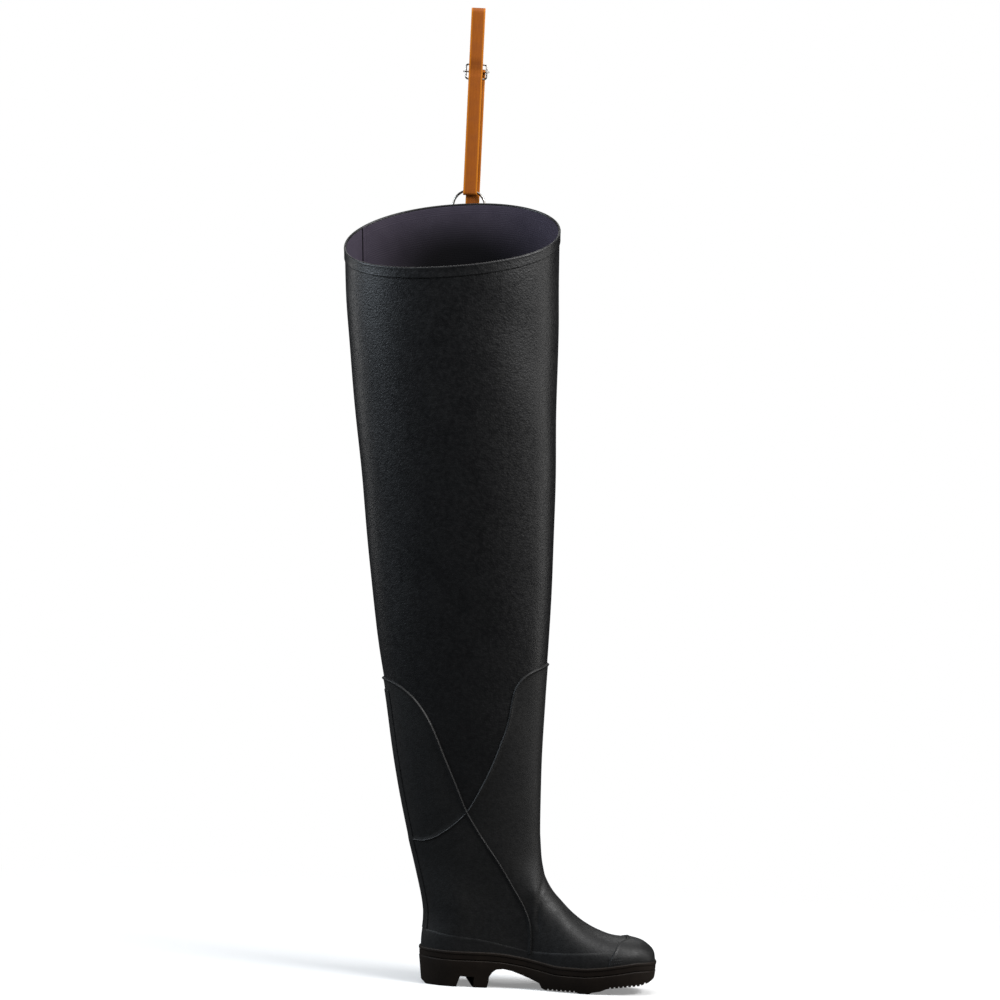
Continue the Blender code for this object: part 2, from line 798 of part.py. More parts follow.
def make_anchor_strap(finish):
    """The strap from the shaft, behind the ring, up to the buckle's bar."""
    path = [
        (ANCHOR_LOW_DEPTH, KEEPER_FROM - 2.0),
        *sway((ANCHOR_LOW_DEPTH, ANCHOR_TO_RING[0]), (ANCHOR_RING_DEPTH, ANCHOR_TO_RING[1])),
        *sway((ANCHOR_RING_DEPTH, ANCHOR_FROM_RING[0]), (ANCHOR_HIGH_DEPTH, ANCHOR_FROM_RING[1])),
        *sway((ANCHOR_HIGH_DEPTH, ANCHOR_TO_BAR[0]), (BAR_DEPTH + BAR_STRAP_TURN, ANCHOR_TO_BAR[1])),
        *turn(BAR_DEPTH, BUCKLE_Z, BAR_STRAP_TURN, 0.0, 185.0),
    ]
    strip_object("anchor_strap", ANCHOR_X, STRAP_WIDTH, STRAP_THICKNESS, path, finish)


def make_belt_strap(finish):
    """The strap in front of the buckle, folded round the ring below and into a belt loop above.

    The belt loop's end hooks round the top wire of the buckle's frame.
    """
    off_middle = abs(STRAP_X - RING_X)
    fold_height = RING_Z + ring_inside(STRAP_WIDTH / 2, off_middle) - GAP + STRAP_TURN - HALF_STRAP
    sway_to = fold_height + 2.0
    loop_turn = (LOOP_GAP + STRAP_THICKNESS) / 2
    loop_height = STRAP_TOP - HALF_STRAP - loop_turn
    below = BUCKLE_Z - BUCKLE_HEIGHT / 2 + BUCKLE_WIRE / 2 + GAP
    above = BUCKLE_Z + BUCKLE_HEIGHT / 2 - BUCKLE_WIRE / 2 - GAP
    hook_depth = FRAME_DEPTH + BUCKLE_TURN
    path = [
        (BELT_PLY_DEPTH, FOLD_END),
        *sway((BELT_PLY_DEPTH, sway_to + FOLD_SWAY), (RING_Y + STRAP_TURN, sway_to)),
        *turn(RING_Y, fold_height, STRAP_TURN, 0.0, -180.0),
        *sway((BELT_DEPTH, below), (BELT_BAR_DEPTH, BUCKLE_Z - HALF_BAR_SEAT)),
        *sway((BELT_BAR_DEPTH, BUCKLE_Z + HALF_BAR_SEAT), (BELT_DEPTH, above)),
        *turn(BELT_DEPTH + loop_turn, loop_height, loop_turn, 180.0, 0.0, 8),
        *sway((BELT_DEPTH + 2 * loop_turn, loop_height - LOOP_SWAY_FROM), (hook_depth, LOOP_DROPS_TO)),
        *turn(FRAME_DEPTH, BUCKLE_Z + BUCKLE_HEIGHT / 2, BUCKLE_TURN, 0.0, HOOK_END, 3),
    ]
    strip_object("belt_strap", STRAP_X, STRAP_WIDTH, STRAP_THICKNESS, path, finish)


def make_buckle(finish):
    """The wire frame of the buckle, and the bar whose ends curl round the frame's sides."""
    path = []
    for right, up, start in ((1, 1, 0.0), (-1, 1, 90.0), (-1, -1, 180.0), (1, -1, 270.0)):
        middle_x = BUCKLE_X + right * (BUCKLE_WIDTH / 2 - BUCKLE_CORNER)
        middle_z = BUCKLE_Z + up * (BUCKLE_HEIGHT / 2 - BUCKLE_CORNER)
        for x, z in turn(middle_x, middle_z, BUCKLE_CORNER, start, start + 90.0, 3):
            path.append((x, FRAME_DEPTH, z))
    wire_object("buckle_frame", path, BUCKLE_WIRE, True, finish)
    right_x = BUCKLE_X + BUCKLE_WIDTH / 2
    left_x = BUCKLE_X - BUCKLE_WIDTH / 2
    curl = turn(left_x, FRAME_DEPTH, BAR_TURN, 260.0, 90.0)
    curl += turn(right_x, FRAME_DEPTH, BAR_TURN, 90.0, -80.0)
    wire_object("buckle_bar", [(x, y, BUCKLE_Z) for x, y in curl], BAR_WIRE, False, finish)


def make_rivets(finish):
    """The rivets' heads on the anchor strap."""
    depth = ANCHOR_LOW_DEPTH + HALF_STRAP + GAP + RIVET_HEAD / 2
    for number, height in enumerate(RIVET_HEIGHTS, 1):
        bpy.ops.mesh.primitive_cylinder_add(
            vertices=12,
            radius=RIVET_RADIUS * METRES,
            depth=RIVET_HEAD * METRES,
            location=(RIVET_X * METRES, depth * METRES, height * METRES),
            rotation=(math.pi / 2, 0.0, 0.0),
        )
        rivet = bpy.context.object
        rivet.name = f"rivet_{number}"
        rivet.data.materials.append(finish)
        edge = rivet.modifiers.new("edge", "BEVEL")
        edge.width = RIVET_CORNER / 2 * METRES
        edge.segments = 1


for old in list(bpy.data.objects):
    bpy.data.objects.remove(old, do_unlink=True)

black_rubber = material("black_rubber", (0.012, 0.012, 0.013), 0.55)
sole_rubber = material("sole_rubber", (0.02, 0.017, 0.015), 0.7)
footbed_cloth = material("footbed_cloth", (0.03, 0.03, 0.035), 0.9)
strap_rubber = material("strap_rubber", (0.30, 0.11, 0.03), 0.6)
steel = material("steel", (0.6, 0.6, 0.6), 0.25, 1.0)

make_outsole(sole_rubber)
make_insole(footbed_cloth)
make_upper(black_rubber)
make_foxing(black_rubber)
make_toe_cap(black_rubber)
make_back_panel(black_rubber)
make_front_panel(black_rubber)
make_back_stay(black_rubber)
make_rim_band(black_rubber)
make_ring_keeper(strap_rubber)
make_ring(steel)
make_anchor_strap(strap_rubber)
make_belt_strap(strap_rubber)
make_buckle(steel)
make_rivets(steel)
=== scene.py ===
"""Hip wader, the looks: rubber, cloth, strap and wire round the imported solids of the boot.

The toe points to +X, the outer side to +Y and up is +Z. Sizes are in millimetres, as in the part's
own source, and mesh_piece() turns them into metres. Lights and camera are placed in metres.
"""
import math

import bmesh
import bpy
import numpy as np
from mathutils import Matrix, Vector
from mathutils.kdtree import KDTree


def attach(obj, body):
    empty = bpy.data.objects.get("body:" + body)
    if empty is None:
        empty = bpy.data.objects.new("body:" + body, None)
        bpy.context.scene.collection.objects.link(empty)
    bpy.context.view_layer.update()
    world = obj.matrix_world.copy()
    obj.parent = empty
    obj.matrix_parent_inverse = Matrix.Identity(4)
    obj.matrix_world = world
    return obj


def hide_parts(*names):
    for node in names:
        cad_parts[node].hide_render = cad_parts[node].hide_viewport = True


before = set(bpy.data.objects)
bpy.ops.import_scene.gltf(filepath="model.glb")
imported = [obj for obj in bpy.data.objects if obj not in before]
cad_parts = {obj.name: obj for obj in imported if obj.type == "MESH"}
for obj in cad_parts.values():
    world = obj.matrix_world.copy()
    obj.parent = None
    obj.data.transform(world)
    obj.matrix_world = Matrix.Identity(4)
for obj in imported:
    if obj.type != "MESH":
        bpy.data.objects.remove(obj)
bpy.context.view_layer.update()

METRES = 0.001
GAP = 0.3

# The upper's sections, from the sole to the rim, seen from the side.
SECTIONS = (
    # back_x, back_z, front_x, front_z
    (-33.4, 44.4, 245.0, 39.6),
    (-33.5, 51.0, 243.6, 48.0),
    (-33.3, 57.0, 238.0, 55.2),
    (-32.8, 63.0, 227.5, 61.4),
    (-32.2, 69.0, 211.0, 64.8),
    (-31.8, 76.0, 195.0, 66.2),
    (-31.9, 84.0, 178.0, 71.2),
    (-32.9, 93.0, 160.0, 80.0),
    (-35.0, 104.0, 144.0, 91.8),
    (-38.2, 117.0, 130.5, 105.0),
    (-42.5, 133.0, 118.5, 118.5),
    (-47.5, 151.0, 110.0, 134.0),
    (-53.5, 172.0, 104.5, 155.0),
    (-60.5, 199.0, 101.2, 185.0),
    (-68.5, 232.0, 99.9, 223.0),
    (-79.0, 282.0, 99.0, 280.0),
    (-90.5, 345.0, 99.6, 345.0),
    (-103.0, 410.0, 101.0, 410.0),
    (-117.0, 500.0, 101.9, 500.0),
    (-131.2, 595.0, 100.8, 595.0),
    (-143.5, 683.0, 98.3, 690.0),
    (-154.3, 768.0, 95.5, 780.0),
    (-161.6, 832.0, 92.8, 858.0),
    (-164.2, 867.5, 91.6, 897.5),
    (-165.0, 880.0, 91.2, 910.0),
)
LAST_FOOT_SECTION = 13
LEVEL_SECTION = 7.0
RIM_SECTION = float(len(SECTIONS) - 1)

# The foot's plan where it meets the sole, before its heel and toe are rounded off.
PLAN = (
    # x, inner, outer
    (-34.0, 46.0, 46.0),
    (0.0, 44.5, 44.5),
    (30.0, 37.5, 37.5),
    (60.0, 32.5, 35.5),
    (90.0, 30.0, 38.5),
    (115.0, 35.5, 43.0),
    (140.0, 43.5, 46.5),
    (165.0, 50.0, 47.5),
    (190.0, 53.0, 48.0),
    (210.0, 54.5, 47.0),
    (245.0, 56.0, 43.0),
)
PLAN_ROUNDING = 2.5
HEEL_SHIFT_FADES_TO = 100.0
TOE_SWING = 4.0
TOE_SWING_FROM = 150.0
DOME_RISE = 2.4
DOME_SPREAD = 2.2
CREST_CLIMB = 20.0

# The shaft's half breadth, seen from the front.
SHAFT = (
    # z, half_breadth
    (90.0, 34.5),
    (130.0, 35.5),
    (165.0, 37.0),
    (215.0, 40.0),
    (335.0, 49.0),
    (455.0, 58.0),
    (551.0, 64.0),
    (718.0, 74.0),
    (880.0, 80.0),
)
SHAFT_ROUNDING = 2.15
ANKLE_FROM = 95.0
ANKLE_TO = 165.0

# The rim rises towards the outer side.
RIM_TILT = 36.0
RIM_CURL = 4.0
RIM_HALF_BREADTH = 80.0
TILT_FROM = 620.0
TILT_TO = 895.0

# The top of the sole's side, on which the upper stands.
LEDGE = (
    # x, z
    (-40.0, 44.5),
    (0.0, 43.3),
    (40.0, 43.2),
    (60.0, 42.4),
    (85.0, 39.2),
    (107.0, 35.2),
    (132.0, 31.2),
    (160.0, 31.0),
    (180.0, 32.8),
    (209.0, 37.2),
    (228.0, 39.8),
    (250.0, 39.4),
)

# The underside of the sole, seen from the side.
UNDERSIDE = (
    # x, z
    (-44.0, 12.0),
    (-31.0, 3.0),
    (-27.0, 0.0),
    (46.5, 0.0),
    (48.2, 7.0),
    (48.6, 13.5),
    (52.5, 19.5),
    (57.0, 22.8),
    (65.0, 23.8),
    (75.0, 22.0),
    (86.0, 18.2),
    (97.0, 14.0),
    (109.0, 9.0),
    (112.0, 3.2),
    (116.0, 1.3),
    (155.0, 1.3),
    (156.5, 0.0),
    (169.0, 0.0),
    (171.5, 2.0),
    (182.0, 4.0),
    (190.0, 7.6),
    (210.0, 9.8),
    (230.0, 11.6),
    (240.0, 14.8),
    (246.0, 18.5),
    (256.0, 28.0),
)
NOTCH_BACK = 9.6
NOTCH_BACK_TOP = 14.0
NOTCH_TOP = 13.5
NOTCH_FRONT_INNER = 34.1
NOTCH_FRONT_OUTER = 24.6
NOTCH_TOP_OUTER = 10.2
NOTCH_RIDGE_OUTER = 0.6
NOTCH_REACH = 52.0
GROOVED = (
    # from_x, to_x
    (119.0, 153.0),
    (193.0, 237.0),
)
GROOVE_PITCH = 5.2
GROOVE_WIDTH = 2.1
GROOVE_DEPTH = 1.8
GROOVE_DRAFT = 0.4
CORNER_CUT = 0.7

# The sole's side, from the ledge down.
SOLE_SIDE = (
    # drop, stand_out
    (0.0, 3.6),
    (0.8, 4.2),
    (3.0, 4.2),
    (4.0, 3.5),
    (9.6, 3.3),
    (10.3, 2.0),
    (11.5, 3.6),
    (22.0, 2.2),
)
SOLE_FOOT_STAND_OUT = -1.2
SOLE_BLANK_FLOOR = -4.0
SOLE_COLUMNS = 360
SIDE_CORNER_CUT = 0.35
# Edges that bend more than this, in degrees, stay sharp.
SOLE_SHARP_FROM = 38.0
STRAP_SHARP_FROM = 50.0
RIVET_SHARP_FROM = 60.0
CLEAR_OF_TOE = 262.0
CLEAR_OF_HEEL = -50.0
CLEAR_OF_SIDES = 90.0
ABOVE_SOLE = 60.0

INSOLE_THICKNESS = 4.0
INSOLE_MARGIN = 3.3
INSOLE_TOE_MARGIN = 4.5
INSOLE_NARROWS_FROM = 205.0

# Edges of the overlays, seen from the side.
BACK_PANEL_EDGE = (
    # x, z
    (98.4, 43.0),
    (98.3, 50.0),
    (98.0, 64.0),
    (95.7, 80.0),
    (89.0, 97.3),
    (74.8, 120.7),
    (55.4, 151.0),
    (29.8, 187.0),
    (13.0, 213.8),
    (-1.6, 245.5),
    (-16.2, 277.2),
    (-36.1, 319.4),
    (-52.7, 342.6),
    (-66.0, 354.5),
    (-77.4, 361.5),
    (-88.0, 365.6),
    (-94.6, 366.6),
)
FRONT_PANEL_EDGE = (
    # x, z
    (13.6, 214.4),
    (27.3, 240.9),
    (38.1, 265.4),
    (48.6, 295.9),
    (55.8, 320.2),
    (59.4, 344.3),
    (62.3, 360.0),
    (68.9, 372.3),
    (82.6, 383.7),
    (100.0, 391.7),
)
FOXING_EDGE = (
    # x, z
    (-34.0, 68.0),
    (-25.0, 67.5),
    (-6.0, 64.6),
    (36.0, 60.4),
    (72.0, 53.4),
    (108.0, 47.4),
    (132.0, 48.0),
    (156.0, 49.3),
    (180.0, 51.2),
    (200.0, 54.0),
)
TOE_CAP_EDGE = (
    # x, z
    (189.5, 33.0),
    (191.5, 40.3),
    (196.9, 52.0),
    (203.6, 62.0),
)
TOE_CAP_CREST = 209.6
# Where the front panel's edge shows through, under the back panel.
HIDDEN_EDGE = (
    # x, z
    (-54.4, 175.0),
    (-41.0, 175.0),
    (-29.5, 178.0),
    (-12.0, 189.0),
    (-0.6, 199.0),
    (13.0, 214.0),
)
# The front panel's lower edge, under the foxing and the toe cap.
FRONT_PANEL_FOOT = (
    # x, z
    (-33.5, 55.0),
    (0.0, 53.0),
    (40.0, 50.0),
    (72.0, 46.0),
    (108.0, 43.0),
    (132.0, 42.0),
    (156.0, 43.0),
    (180.0, 45.0),
    (196.0, 48.0),
    (203.0, 54.0),
)
# The foxing's end, under the toe cap.
FOXING_END = (
    # x, z
    (192.5, 33.0),
    (194.5, 40.3),
    (198.5, 50.0),
)
EDGE_POINTS = 400
BEND_REACH = 34
# How far from the boot's middle line, as an angle, a side edge turns into an end edge.
PANEL_CORNER = 0.45
TOE_CAP_CORNER = 0.7

# How far the overlays' faces stand off the bare upper, and how their edges are rolled.
FRONT_PANEL_FACE = 1.0
BACK_PANEL_FACE = 1.15
OVER_FRONT_PANEL = 0.5
HIDDEN_BEAD = 0.3
FOXING_FACE = 1.6
FOXING_OVER_BACK = 0.4
TOE_CAP_FACE = 2.6
STAY_FACE = 2.1
PANEL_ROLL = 1.6
PANEL_BEAD = 1.6
FOXING_ROLL = 4.6
TOE_CAP_ROLL = 1.6
TOE_CAP_BEAD = 0.7
STAY_ROLL = 0.9
TUCK = 0.35
STAY_REACH = 5.6
STAY_FROM = 66.0
STAY_TO = 352.0
# Where one overlay lies over another and steps up or down.
HIDDEN_STEP = 1.6
HIDDEN_SPREAD = 2.0
FRONT_PANEL_UNDER_CAP = 2.0
FOXING_STEP = (96.6, 99.4)
STAY_STEP = (170.0, 182.0)
STAY_POINTS = 80

# The upper's wall is rubber outside and knitted cloth inside.
RUBBER_WALL = 1.0
LINING_WALL = 0.6
UPPER_COLUMNS = 216
UPPER_ROWS = 190
LINING_COLUMNS = 200
LINING_ROWS = 110
LINING_STOPS_BELOW_RIM = 1.0
LINING_FOOT_SECTION = 4.0
LINING_CLEARANCE = 0.05
LAP_ANGLE = -0.56
LAP_WIDTH = 9.0
LAP_THICKNESS = 1.2
LAP_FOOT_SECTION = 14.0
LAP_ROWS = 120
LAP_SHARES = (0.0, 0.03, 0.08, 0.16, 0.3, 0.5, 0.7, 0.84, 0.92, 0.97, 1.0)
# Where the lap's edges begin, as shares across it; beyond them the cloth gets painted shade along the
# lap's step.
LAP_SHADED_EDGES = (0.12, 0.9)

# The hem round the rim: how far each point stands off the upper, and how far below the rim it lies.
HEM_PROFILE = (
    # stand_off, drop
    (-0.4, 12.6),
    (0.35, 12.6),
    (0.85, 12.2),
    (1.05, 11.4),
    (1.0, 9.0),
    (1.0, 3.6),
    (1.05, 2.2),
    (1.2, 0.9),
    (1.0, -0.2),
    (0.4, -0.8),
    (-0.5, -1.0),
    (-1.2, -0.7),
    (-1.7, -0.1),
    (-1.85, 0.7),
    (-1.8, 1.5),
    (-1.4, 1.8),
    (-0.8, 1.8),
)
HEM_COLUMNS = 300
HEM_ROUNDING = 0.5

# The strap work, on the outer side of the rim. Depths are measured along Y.
STRAP_X = -18.9
STRAP_WIDTH = 16.8
STRAP_THICKNESS = 1.8
STRAP_CORNER = 0.5
STRAP_STEP = 6.0
ANCHOR_X = -15.6
KEEPER_WIDTH = 16.0
KEEPER_THICKNESS = 1.6
KEEPER_DEPTH = 80.9
KEEPER_FROM = 876.0
KEEPER_SWAY_BELOW_TURN = 1.0
ANCHOR_BELOW_KEEPER = 2.0
ANCHOR_OVER_FOLD = 0.1
FOLD_SWAY_OVER_TURN = 2.0
RING_X = -19.4
RING_Z = 934.0
RING_RADIUS = 19.3
RING_WIRE = 2.8
RING_STEPS = 96
BUCKLE_X = -18.2
BUCKLE_Z = 1096.8
BUCKLE_WIDTH = 24.9
BUCKLE_HEIGHT = 17.5
BUCKLE_WIRE = 2.2
BUCKLE_CORNER = 3.0
BAR_WIRE = 2.0
FOLD_END = 985.0
STRAP_TOP = 1174.0
ANCHOR_TO_RING = (898.0, 911.0)
ANCHOR_FROM_RING = (962.0, 998.0)
ANCHOR_TO_BAR = (1060.0, 1084.0)
KEEPER_SWAY = 14.0
FOLD_SWAY = 12.0
HALF_BAR_SEAT = 1.2
LOOP_SWAY_FROM = 34.0
LOOP_GAP = 7.5
LOOP_DROPS_TO = 1118.0
HOOK_END = -100.0
RIVET_HEIGHTS = (881.0, 892.0)
RIVET_X = -17.5

# The depths that follow from them, from the shaft outward.
HALF_STRAP = STRAP_THICKNESS / 2
HALF_KEEPER = KEEPER_THICKNESS / 2
KEEPER_TURN = RING_WIRE / 2 + GAP + HALF_KEEPER
STRAP_TURN = RING_WIRE / 2 + GAP + HALF_STRAP
RING_Y = KEEPER_DEPTH + KEEPER_TURN
KEEPER_OUTER_DEPTH = KEEPER_DEPTH + KEEPER_THICKNESS + GAP
ANCHOR_LOW_DEPTH = KEEPER_OUTER_DEPTH + HALF_KEEPER + GAP + HALF_STRAP
ANCHOR_RING_DEPTH = RING_Y + STRAP_TURN + STRAP_THICKNESS + GAP + ANCHOR_OVER_FOLD
BELT_DEPTH = RING_Y - STRAP_TURN
BELT_PLY_DEPTH = BELT_DEPTH + STRAP_THICKNESS + GAP
ANCHOR_HIGH_DEPTH = BELT_PLY_DEPTH + STRAP_THICKNESS + GAP
BUCKLE_TURN = BUCKLE_WIRE / 2 + GAP + HALF_STRAP
FRAME_DEPTH = BELT_DEPTH + BUCKLE_TURN
BAR_TURN = (BUCKLE_WIRE + BAR_WIRE) / 2 + GAP
BAR_DEPTH = FRAME_DEPTH + BAR_TURN
BAR_STRAP_TURN = BAR_WIRE / 2 + GAP + HALF_STRAP
BELT_BAR_DEPTH = BAR_DEPTH - BAR_STRAP_TURN - STRAP_THICKNESS - GAP


# Curves and the upper's own surface.


def smooth_curve(places, values):
    """Return a monotone cubic through the given points, level beyond both ends."""
    x = np.array(places, float)
    y = np.array(values, float)
    step = np.diff(x)
    slope = np.diff(y) / step
    tangent = np.zeros_like(y)
    tangent[0] = slope[0]
    tangent[-1] = slope[-1]
    for i in range(1, len(x) - 1):
        if slope[i - 1] * slope[i] > 0:
            before = 2 * step[i] + step[i - 1]
            after = step[i] + 2 * step[i - 1]
            tangent[i] = (before + after) / (before / slope[i - 1] + after / slope[i])

    def value_at(place):
        place = np.clip(place, x[0], x[-1])
        i = np.clip(np.searchsorted(x, place, side="right") - 1, 0, len(step) - 1)
        t = (place - x[i]) / step[i]
        start = (1 + 2 * t) * (1 - t) ** 2 * y[i] + t * (1 - t) ** 2 * step[i] * tangent[i]
        end = t * t * (3 - 2 * t) * y[i + 1] + t * t * (t - 1) * step[i] * tangent[i + 1]
        return start + end

    return value_at


def smoothstep(value, low, high):
    """Return 0 below low, 1 above high and a soft ramp between them."""
    t = np.clip((value - low) / (high - low), 0.0, 1.0)
    return t * t * (3.0 - 2.0 * t)


def bell(value, spread):
    """Return a soft hump, 1 at 0."""
    return np.exp(-((value / spread) ** 2))


BACK_X, BACK_Z, FRONT_X, FRONT_Z = (np.array(column) for column in zip(*SECTIONS))
SECTION_NUMBERS = np.arange(len(SECTIONS))
back_height = smooth_curve(SECTION_NUMBERS, BACK_Z)
back_place = smooth_curve(BACK_Z, BACK_X)
front_place = smooth_curve(SECTION_NUMBERS, FRONT_X)
front_height = smooth_curve(SECTION_NUMBERS, FRONT_Z)
CREST = slice(LAST_FOOT_SECTION, None, -1)
crest_height = smooth_curve(FRONT_X[CREST], FRONT_Z[CREST])
ledge_height = smooth_curve(*zip(*LEDGE))
plan_inner = smooth_curve([row[0] for row in PLAN], [row[1] for row in PLAN])
plan_outer = smooth_curve([row[0] for row in PLAN], [row[2] for row in PLAN])
shaft_breadth = smooth_curve(*zip(*SHAFT))


def rounded_end(place, power):
    """Return the breadth, from 0 to 1, of a long rounded outline at place -1 to 1."""
    inside = np.clip(1.0 - np.abs(place) ** power, 0.0, 1.0)
    return inside ** (1.0 / power)


def foot_breadth(x, z, outer):
    """Return how far the foot's inner or outer side lies from its middle line."""
    heel_shift = (back_place(z) - BACK_X[0]) * (1.0 - smoothstep(x, 0.0, HEEL_SHIFT_FADES_TO))
    plan_x = x - heel_shift
    middle = (BACK_X[0] + FRONT_X[0]) / 2
    half_length = (FRONT_X[0] - BACK_X[0]) / 2
    breadth = np.where(outer, plan_outer(plan_x), plan_inner(plan_x))
    breadth = breadth * rounded_end((plan_x - middle) / half_length, PLAN_ROUNDING)
    ledge = ledge_height(x)
    behind_instep = np.maximum(FRONT_X[LAST_FOOT_SECTION] - x, 0.0)
    crest = crest_height(x) + CREST_CLIMB * behind_instep
    rise = np.clip((z - ledge) / (crest - ledge), 0.0, 1.0)
    return breadth * (1.0 - rise ** DOME_RISE) ** (1.0 / DOME_SPREAD)


def surface(angle, number):
    """Return the upper's bare surface: angle 0 is the back, a quarter turn the inner side."""
    angle, number = np.broadcast_arrays(np.asarray(angle, float), np.asarray(number, float))
    along = (1.0 - np.cos(angle)) / 2
    outer = np.sin(angle) < 0.0
    start_z = back_height(number)
    start_x = back_place(start_z)
    end_x = front_place(number)
    end_z = np.where(number < LAST_FOOT_SECTION, crest_height(end_x), front_height(number))
    x = start_x + (end_x - start_x) * along
    z = start_z + (end_z - start_z) * along
    straight = BACK_Z[0] + (FRONT_Z[0] - BACK_Z[0]) * (x - BACK_X[0]) / (FRONT_X[0] - BACK_X[0])
    z = z + (ledge_height(x) - straight) * (1.0 - smoothstep(number, 0.0, LEVEL_SECTION))
    shaft = shaft_breadth(z) * rounded_end(np.cos(angle), SHAFT_ROUNDING)
    ankle = smoothstep(z, ANKLE_FROM, ANKLE_TO)
    side = np.where(outer, 1.0, -1.0)
    breadth = foot_breadth(x, z, outer) * (1.0 - ankle) + shaft * ankle
    y = side * breadth - TOE_SWING * smoothstep(x, TOE_SWING_FROM, FRONT_X[0]) * (1.0 - ankle)
    across = y / RIM_HALF_BREADTH
    z = z + smoothstep(z, TILT_FROM, TILT_TO) * (RIM_TILT * across + RIM_CURL * across ** 2)
    return np.stack([x, y, z], axis=-1)


def unit(vectors):
    """Return vectors of length one."""
    return vectors / np.linalg.norm(vectors, axis=-1, keepdims=True)


def surface_frame(angle, number, step=1e-3):
    """Return the surface's upward and outward directions."""
    around = surface(angle + step, number) - surface(angle - step, number)
    above = np.minimum(number + step, RIM_SECTION)
    below = np.maximum(number - step, 0.0)
    upward = surface(angle, above) - surface(angle, below)
    return unit(upward), unit(np.cross(around, upward))


# Soft forms in the rubber: the hollows beside the instep, and slow waves in the shaft.
HOLLOW = (
    # z, x
    (70.0, 106.0),
    (82.0, 103.5),
    (98.0, 103.0),
    (112.0, 104.5),
    (126.0, 107.0),
    (145.0, 110.0),
)
HOLLOW_DEPTH = 1.2
HOLLOW_SPREAD = 2.8
HOLLOW_STARTS = (62.0, 84.0)
HOLLOW_ENDS = (118.0, 146.0)
SWELL_DEPTH = 0.8
SWELL_PLACE = (96.0, 116.0)
SWELL_SPREAD = 8.0
WAVES = (
    # height, turns round the leg, waves per metre of height, phase
    (0.50, 2, 2.6, 0.4),
    (0.35, 3, 4.1, 1.9),
    (0.22, 5, 6.7, 4.0),
)
WAVES_START = (230.0, 420.0)
WAVES_END = (790.0, 850.0)
hollow_place = smooth_curve(*zip(*HOLLOW))


def relief(angle, points):
    """Return how far the soft forms lift the bare surface."""
    x = points[..., 0]
    z = points[..., 2]
    beside = smoothstep(z, *HOLLOW_STARTS) * (1.0 - smoothstep(z, *HOLLOW_ENDS))
    lift = -HOLLOW_DEPTH * beside * bell(x - hollow_place(z), HOLLOW_SPREAD)
    lift = lift + SWELL_DEPTH * bell(np.hypot(x - SWELL_PLACE[0], z - SWELL_PLACE[1]), SWELL_SPREAD)
    free = smoothstep(z, *WAVES_START) * (1.0 - smoothstep(z, *WAVES_END))
    for height, turns, per_metre, phase in WAVES:
        place = turns * angle + 2 * math.pi * per_metre * z * METRES + phase
        lift = lift + height * free * np.sin(place)
    return lift


def skin(angle, number, lift=0.0):
    """Return points that stand off the rubber's outer face by lift."""
    points = surface(angle, number)
    normal = surface_frame(angle, number)[1]
    height = relief(angle, points) + lift
    return points + normal * height[..., None]


LOCATE_STEPS = 40


def locate(x, z):
    """Return the angle and section number of the inner side's point that is seen at x, z."""
    x, z = np.broadcast_arrays(np.asarray(x, float), np.asarray(z, float))
    low = np.zeros(x.shape)
    high = np.full(x.shape, RIM_SECTION)
    for _ in range(LOCATE_STEPS):
        number = (low + high) / 2
        start_x = back_place(back_height(number))
        along = np.clip((x - start_x) / (front_place(number) - start_x), 0.0, 1.0)
        angle = np.arccos(1.0 - 2.0 * along)
        under = surface(angle, number)[..., 2] < z
        low = np.where(under, number, low)
        high = np.where(under, high, number)
    return angle, number


# Meshes from grids of points.


def mesh_piece(name, points, faces, finish, smooth=True):
    """Make a mesh object from points in millimetres."""
    mesh = bpy.data.meshes.new(name)
    mesh.from_pydata((np.asarray(points, float) * METRES).tolist(), [], faces)
    mesh.update()
    if smooth:
        mesh.shade_smooth()
    if finish is not None:
        mesh.materials.append(finish)
    made = bpy.data.objects.new(name, mesh)
    bpy.context.scene.collection.objects.link(made)
    return made


def grid_faces(rows, columns, first=0, wrapped=False, flipped=False):
    """Return the quads of a grid of points that is numbered row by row."""
    across = columns if wrapped else columns - 1
    row, column = np.meshgrid(np.arange(rows - 1), np.arange(across), indexing="ij")
    following = (column + 1) % columns
    corners = [
        row * columns + column,
        row * columns + following,
        (row + 1) * columns + following,
        (row + 1) * columns + column,
    ]
    if flipped:
        corners.reverse()
    return (first + np.stack(corners, axis=-1).reshape(-1, 4)).tolist()


def closed_tube(name, outer, inner, finish):
    """Make a tube's wall between two grids, closed at both ends."""
    rows, columns = outer.shape[:2]
    count = rows * columns
    faces = grid_faces(rows, columns, wrapped=True)
    faces += grid_faces(rows, columns, first=count, wrapped=True, flipped=True)
    top = (rows - 1) * columns
    for column in range(columns):
        following = (column + 1) % columns
        faces.append((following, column, count + column, count + following))
        faces.append((top + column, top + following, count + top + following, count + top + column))
    points = np.concatenate([outer.reshape(-1, 3), inner.reshape(-1, 3)])
    return mesh_piece(name, points, faces, finish)


def closed_sheet(name, outer, inner, finish):
    """Make a thin solid between two open grids, closed along its four edges."""
    rows, columns = outer.shape[:2]
    count = rows * columns
    faces = grid_faces(rows, columns)
    faces += grid_faces(rows, columns, first=count, flipped=True)
    border = list(range(columns))
    border += [row * columns + columns - 1 for row in range(1, rows)]
    border += [(rows - 1) * columns + column for column in range(columns - 2, -1, -1)]
    border += [row * columns for row in range(rows - 2, 0, -1)]
    for start, end in zip(border, border[1:] + border[:1]):
        faces.append((end, start, count + start, count + end))
    points = np.concatenate([outer.reshape(-1, 3), inner.reshape(-1, 3)])
    return mesh_piece(name, points, faces, finish)


def note_places(made, name, places):
    """Keep a place in metres on each point of a piece, for its material to read."""
    note = made.data.attributes.new(name, "FLOAT_VECTOR", "POINT")
    note.data.foreach_set("vector", (np.asarray(places, float) * METRES).astype(np.float32).ravel())


# Overlays: four-sided patches of the upper's own surface, with rolled edges.


